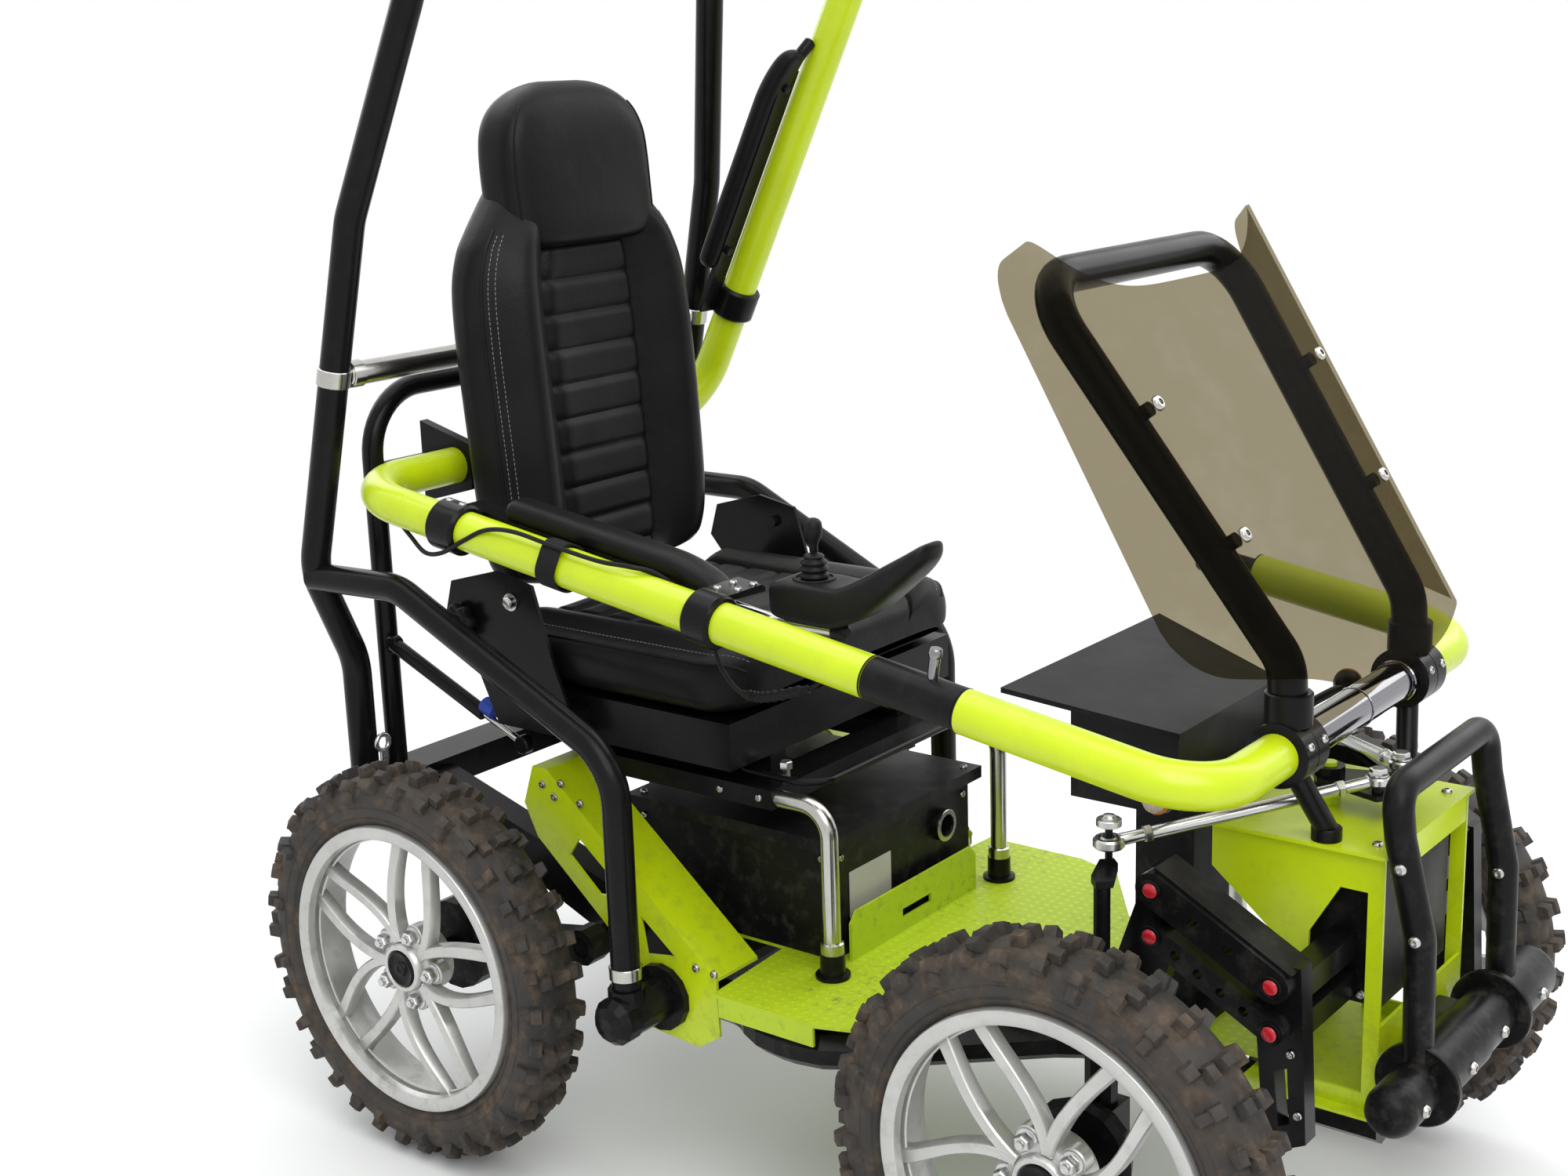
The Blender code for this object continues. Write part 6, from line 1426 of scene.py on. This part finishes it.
def add_seat_metal():
    up = (0, 0, 1)
    for side, word in SIDES:
        x, y, foot = side * 0.187, -0.02, 0.3003
        post = bmesh.new()
        sweep(post, rounded([(x, 0.0547, 0.5125), (x, y, 0.5125), (x, y, foot)], 0.045, 12), 0.011, 28)
        turned(post, [(0, 0.01425), (0.0435, 0.01425), (0.045, 0.0125)], (x, y, foot), up, 30)
        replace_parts(add_piece(f"seat_post_{word}_piece", post, "tube", "frame"), f"seat_post_{word}")
        collar = lathe([(0, 0.0215), (0.004, 0.0215), (0.005, 0.0155), (0.03, 0.0152), (0.031, 0.014)],
                       (x, y, foot + 0.0001), up, 30)
        add_piece(f"seat_post_collar_{word}", collar, "satin", "frame")
    lever = bmesh.new()
    half = [(0.1503, 0.12, 0.5355), (0.178, 0.12, 0.5355), (0.18, 0.03, 0.5355), (0.158, 0.0, 0.5355)]
    sweep(lever, rounded(both_sides(half), 0.02, 6), 0.0045, 16)
    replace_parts(add_piece("seat_lever_piece", lever, "satin", "lever"), "seat_lever")


# Front suspension

LINK_AHEAD, LINK_REACH, LINK_RISE = -0.62, 0.133, 0.072
LINK_NEAR, LINK_FAR = 0.2463, 0.2663


LINK_LENGTH = math.hypot(LINK_REACH, LINK_RISE)
UPPER_Z, LOWER_Z = 0.472, 0.422


def pierced(shape, outline, holes, low, high):
    """A flat plate across X: an outline of (Y, Z) points with round holes of (Y, Z, radius)."""
    flat = bmesh.new()
    loops = [outline]
    for y, z, radius in holes:
        loops.append([(y + radius * math.cos(turn), z + radius * math.sin(turn)) for turn in turns(20)])
    for points in loops:
        corners = [flat.verts.new((low, y, z)) for y, z in points]
        for index, corner in enumerate(corners):
            flat.edges.new((corner, corners[(index + 1) % len(corners)]))
    bmesh.ops.triangle_fill(flat, use_beauty=True, edges=flat.edges[:])
    made = bmesh.ops.extrude_face_region(flat, geom=flat.faces[:])
    for item in made["geom"]:
        if isinstance(item, bmesh.types.BMVert):
            item.co.x = high
    mesh = bpy.data.meshes.new("plate")
    flat.to_mesh(mesh)
    flat.free()
    shape.from_mesh(mesh)
    bpy.data.meshes.remove(mesh)


def along_link(z, distance, lift):
    """A (Y, Z) point along a link from its front pivot, lifted square to it."""
    run = Vector((0, LINK_REACH, LINK_RISE)).normalized()
    return LINK_AHEAD + distance * run.y - lift * run.z, z + distance * run.z + lift * run.y


def link_outline(z, half):
    """A bar with round ends along a link."""
    points = []
    for centre, start in ((LINK_LENGTH, -90), (0.0, 90)):
        for degrees in even_steps(start, start + 180, 16):
            turn = math.radians(degrees)
            points.append(along_link(z, centre + half * math.cos(turn), half * math.sin(turn)))
    return points


def link_strip(z, over, low, high):
    """The outline of a strip along a link, between two heights, that sticks out a little at both ends."""
    corners = ((-over, low), (LINK_LENGTH + over, low), (LINK_LENGTH + over, high), (-over, high))
    return [along_link(z, distance, lift) for distance, lift in corners]


def link_mesh(side, z, half, hole_shares, hole_radius):
    """One link: a pierced bar, and on the upper one a flange with a lip."""
    shape = bmesh.new()
    holes = [(*along_link(z, LINK_LENGTH * share, 0.0), hole_radius) for share in hole_shares]
    pierced(shape, link_outline(z, half), holes, side * LINK_NEAR, side * LINK_FAR)
    if z == UPPER_Z:
        pierced(shape, link_strip(z, 0.01, 0.0172, 0.0205), [], side * 0.2145, side * 0.26)
        pierced(shape, link_strip(z, 0.006, 0.011, 0.02), [], side * 0.2145, side * 0.2178)
    return shape


def add_suspension():
    """The links that carry the front uprights, with the red caps of their pivots."""
    ring = [(0, 0.0118), (0.0016, 0.0118), (0.0022, 0.0106), (0.0022, 0.0078)]
    cap = [(0, 0.008), (0.0026, 0.008), (0.0044, 0.0062), (0.005, 0.003)]
    for side, word in SIDES:
        upper = link_mesh(side, UPPER_Z, 0.018, (0.36, 0.64), 0.0062)
        piece = add_piece(f"upper_arm_{word}_piece", upper, "black", f"arm_{word}", 35)
        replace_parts(piece, f"upper_arm_{word}")
        lower = link_mesh(side, LOWER_Z, 0.013, (0.22, 0.41, 0.6, 0.79), 0.0052)
        piece = add_piece(f"lower_link_{word}_piece", lower, "black", f"link_{word}", 35)
        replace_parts(piece, f"lower_link_{word}")
        out = (side, 0, 0)
        for name, body, reach, rise in (("bracket", "frame", 0, 0),
                                        ("upright", f"upright_body_{word}", LINK_REACH, LINK_RISE)):
            rings, caps = bmesh.new(), bmesh.new()
            for z in (UPPER_Z, LOWER_Z):
                place = (side * (LINK_FAR + 0.0006), LINK_AHEAD + reach, z + rise)
                turned(rings, ring, place, out, 28)
                turned(caps, cap, place, out, 28)
            add_piece(f"{name}_rings_{word}", rings, "satin", body)
            add_piece(f"{name}_caps_{word}", caps, "red", body)
        fixings = [(side * 0.2465, y, z) for y, z in ((-0.634, 0.395), (-0.612, 0.3), (-0.643, 0.33))]
        screw_heads(f"bracket_screws_{word}", fixings, out, 0.005, "tube", "frame")


# Small pieces

# The Y and Z of the screws in each side beam
BEAM_SCREWS = [(0.3575, 0.5), (0.3252, 0.507), (0.338, 0.487), (0.294, 0.487), (0.1163, 0.3118),
               (0.088, 0.3107)]


def add_struts():
    """The gas struts behind the seat, with their blue end caps."""
    mount = [(-0.008, 0.01), (-0.006, 0.012), (0.006, 0.012), (0.008, 0.01)]
    for side, word in SIDES:
        low = Vector((side * 0.258, 0.408, 0.538))
        high = Vector((side * 0.258, 0.64, 0.636))
        middle = low.lerp(high, 0.3)
        strut = bmesh.new()
        sweep(strut, [middle, high], 0.0098, 28)
        for end in (low, high):
            turned(strut, mount, end, (1, 0, 0), 24)
        add_piece(f"strut_{word}", strut, "satin", "frame")
        inner = bmesh.new()
        rod(inner, low, middle, 0.0045, 18)
        add_piece(f"strut_rod_{word}", inner, "tube", "frame")
        cap = lathe([(-0.011, 0.0102), (-0.01, 0.0112), (0.01, 0.0112), (0.011, 0.0102)],
                    low.lerp(high, 0.25) + Vector((0, 0, 0.014)), high - low, 24)
        add_piece(f"strut_cap_{word}", cap, "blue", "frame")


def add_steering():
    """The track rods with their rod ends and lock nuts, and the bolts that hold them."""
    up = Vector((0, 0, 1))
    half = [(0.012, 0.0068), (0.037, 0.0064), (0.0375, 0.0058), (0.046, 0.0058), (0.0465, 0.007)]
    lock_nut = [(0, 0.0088), (0.0008, 0.0096), (0.0068, 0.0096), (0.0076, 0.0088)]
    ball = [(-0.0062, 0.0068), (-0.0045, 0.0092), (0.0, 0.0104), (0.0045, 0.0092), (0.0062, 0.0068)]
    for side, word in SIDES:
        inner = Vector((side * 0.031, -0.627, 0.618))
        outer = Vector((side * 0.24, -0.424, 0.574))
        run = (outer - inner).normalized()
        length = (outer - inner).length
        piece = lathe(half + [(length - along, radius) for along, radius in reversed(half)], inner, run, 28)
        for start in (0.038, length - 0.0456):
            turned(piece, [(start + along, radius) for along, radius in lock_nut], inner, run, 6)
        ring_band(piece, inner, up, 0.0062, 0.0134, 0.0049, 32)
        ring_band(piece, outer, up, 0.0106, 0.0168, 0.0056, 32)
        turned(piece, ball, outer, up, 28)
        piece = add_piece(f"track_rod_{word}_piece", piece, "steel", f"rod_{word}", 30)
        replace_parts(piece, f"track_rod_{word}")
        foot = (*outer.xy, 0)
        stud = lathe([(0.5926, 0.0128), (0.5932, 0.0134), (0.5994, 0.0134), (0.6002, 0.0126)], foot, up, 28)
        turned(stud, [(0.6, 0.0082), (0.602, 0.008), (0.6042, 0.0062), (0.605, 0.003)], foot, up, 24)
        add_piece(f"steering_stud_{word}", stud, "steel", f"knuckle_body_{word}", 30)
        foot = (*inner.xy, 0)
        bolt = lathe([(0.6238, 0.0108), (0.6256, 0.0108)], foot, up, 24)
        turned(bolt, [(0.6254, 0.0092), (0.6306, 0.0092), (0.6318, 0.008)], foot, up, 6)
        add_piece(f"crank_bolt_{word}", bolt, "steel", "crank", 30)


# The Y and Z of the screws in each face of the drive box
DRIVE_SCREWS = [(-0.56, 0.535), (-0.548, 0.49), (-0.548, 0.425), (-0.6, 0.505), (-0.64, 0.4),
                (-0.585, 0.4)]


def add_fixings():
    """The screws, eye bolts and posts of the frame, the battery case and the nose."""
    for side, word in SIDES:
        out = (side, 0, 0)
        beam = [(side * 0.2802, y, z) for y, z in BEAM_SCREWS]
        screw_heads(f"beam_screws_{word}", beam, out, 0.0055, "tube", "frame")
        carrier = [(side * 0.1988, y, 0.5125) for y in (0.075, 0.135)]
        screw_heads(f"carrier_screws_{word}", carrier, out, 0.005, "tube", "frame")
        eye = bmesh.new()
        x, y = side * 0.292, 0.64
        rod(eye, (x, y, 0.478), (x, y, 0.498), 0.005, 16)
        ring = circle(Vector((x, y, 0.509)), Vector((1, 0, 0)), Vector((0, 0, 1)), 0.0105, 32)
        sweep(eye, ring + ring[:1], 0.0032, 12)
        add_piece(f"eye_bolt_{word}", eye, "steel", "frame")
        post = lathe([(0, 0.0055), (0.016, 0.0055), (0.0165, 0.0085), (0.025, 0.0085), (0.0258, 0.007)],
                     (side * 0.161, 0.062, 0.5252), (0, 0, 1), 6)
        add_piece(f"carrier_posts_{word}", post, "steel", "frame", 30)
    battery = [(-0.1502, y, z) for y in (0.02, 0.306) for z in (0.318, 0.43)]
    battery_front = [(x, 0.0038, 0.43) for x in (-0.135, 0.135)]
    lid = [(x, y, 0.4613) for x in (-0.15, 0.15) for y in (0.01, 0.306)]
    nose = [(x, y, 0.5721) for x in (-0.095, 0.095) for y in (-0.655, -0.5)]
    sets = [
        ("battery_screws", battery, (-1, 0, 0), 0.005),
        ("battery_front_screws", battery_front, (0, -1, 0), 0.005),
        ("lid_screws", lid, (0, 0, 1), 0.005),
        ("nose_screws", nose, (0, 0, 1), 0.006),
    ]
    for side, word in SIDES:
        places = [(side * 0.0882, y, z) for y, z in DRIVE_SCREWS]
        sets.append((f"drive_screws_{word}", places, (side, 0, 0), 0.0055))
    for name, places, facing, radius in sets:
        screw_heads(name, places, facing, radius, "tube", "frame")


def add_socket_and_label():
    ring = bmesh.new()
    ring_band(ring, (0.082, -0.0068, 0.405), (0, 1, 0), 0.015, 0.0212, 0.0016)
    add_piece("charging_ring", ring, "tube", "frame")
    plate = bmesh.new()
    block(plate, (-0.118, 0.0026, 0.345), (-0.03, 0.0039, 0.405), 0.0004)
    add_piece("blank_label", plate, "label", "frame")


def add_indicators():
    """The front indicators on their stalks, with a clear lens in an amber ring."""
    for side, word in SIDES:
        place = Vector((side * 0.236, -0.4785, 0.632))
        out = Vector((side, 0.25, 0.1)).normalized()
        body = lathe([(-0.022, 0.006), (-0.018, 0.012), (-0.006, 0.0165), (0.0, 0.017)], place, out)
        stalk = [(side * 0.098, -0.428, 0.606), (side * 0.15, -0.446, 0.612), (side * 0.205, -0.472, 0.628),
                 tuple(place - out * 0.018)]
        sweep(body, smooth_path(stalk, 24), 0.0055, 16)
        add_piece(f"indicator_body_{word}", body, "satin", "frame")
        ring = lathe([(0.0002, 0.0165), (0.005, 0.0168), (0.0062, 0.015)], place, out)
        add_piece(f"indicator_ring_{word}", ring, "amber", "frame")
        lens = lathe([(0.0052, 0.015), (0.01, 0.0142), (0.0135, 0.011), (0.015, 0.005)], place, out)
        add_piece(f"indicator_lens_{word}", lens, "lens", "frame")


# Stage


def add_floor():
    """A plain pale floor that fades to white around the scooter where it is seen."""
    mesh = bpy.data.meshes.new("floor")
    size = 40.0
    mesh.from_pydata([(-size, -size, 0), (size, -size, 0), (size, size, 0), (-size, size, 0)], [],
                     [(0, 1, 2, 3)])
    nodes = Nodes("floor")
    nodes.set(Base_Color=(0.8, 0.8, 0.79, 1), Roughness=0.8, Specular_IOR_Level=0.2)
    reach = nodes.add("ShaderNodeVectorMath", {0: nodes.place}, operation="LENGTH").outputs["Value"]
    fade = nodes.times(nodes.remap(reach, 1.3, 2.8), seen_rays(nodes.tree))
    glow = nodes.add("ShaderNodeEmission", {"Color": (1, 1, 1, 1), "Strength": 1.0}).outputs[0]
    mix_shaders(nodes.tree, "Material Output", fade, nodes.shader.outputs[0], glow)
    mesh.materials.append(nodes.material)
    add_object("floor", mesh)


def add_stage():
    """The floor, a soft even light and a white background."""
    add_floor()
    lights = [
        # Place, turn in degrees, size, power
        ((-2.2, -2.6, 3.4), (38, 0, -40), 3.2, 105),
        ((3.0, -1.2, 3.0), (46, 0, 68), 3.0, 55),
        ((0.5, 3.2, 3.2), (-46, 0, -8), 3.4, 55),
        ((0.0, 0.0, 4.2), (0, 0, 0), 4.0, 70),
    ]
    for index, (place, turn, width, power) in enumerate(lights):
        data = bpy.data.lights.new(f"softbox_{index}", "AREA")
        data.size = width
        data.energy = power
        light = add_object(f"softbox_{index}", data)
        light.location = place
        light.rotation_euler = [math.radians(angle) for angle in turn]
    world = bpy.data.worlds.new("studio")
    bpy.context.scene.world = world
    world.use_nodes = True
    tree = world.node_tree
    soft = tree.nodes["Background"]
    soft.inputs["Color"].default_value = (0.95, 0.97, 1.0, 1)
    soft.inputs["Strength"].default_value = 0.75
    white = add_node(tree, "ShaderNodeBackground", {"Color": (1, 1, 1, 1), "Strength": 1.0})
    mix_shaders(tree, "World Output", seen_rays(tree), soft.outputs[0], white.outputs[0])
    bpy.context.scene.view_settings.view_transform = "Standard"


# Everything together. The first two tables list the CAD nodes that stay on show.

KEPT = {
    "footplate": "tread", "chassis_frame": "satin", "battery_box": "black", "battery_lid": "black",
    "seat_frame": "satin", "nose_plates": "lime", "drive_box": "black", "front_tray": "black",
    "steering_crank": "satin", "seat_pan": "satin",
}
KEPT_PAIRS = {
    "rear_arm": "black", "front_bracket": "satin", "upright": "satin", "knuckle": "satin",
    "side_beam": "lime",
}


def dress_all():
    """A look for each CAD node, whether or not a finer piece takes its place."""
    for name, look in KEPT.items():
        inherit(name, look)
    for base, look in KEPT_PAIRS.items():
        for _, word in SIDES:
            inherit(f"{base}_{word}", look)
    for thing in NODES.values():
        if not any(material and material.name in LOOK_NAMES for material in thing.data.materials):
            dress(thing, "satin")


LOOK_NAMES = {look.name for look in LOOKS.values()}
dress_all()
add_camera()
add_wheels()
add_cage()
add_side_bars()
add_front_bars()
add_screen_frame()
add_windscreen()
add_bumper()
add_seat()
add_arm_pads()
add_joystick()
add_seat_knob()
add_seat_metal()
add_suspension()
add_struts()
add_steering()
add_fixings()
add_socket_and_label()
add_indicators()
add_stage()
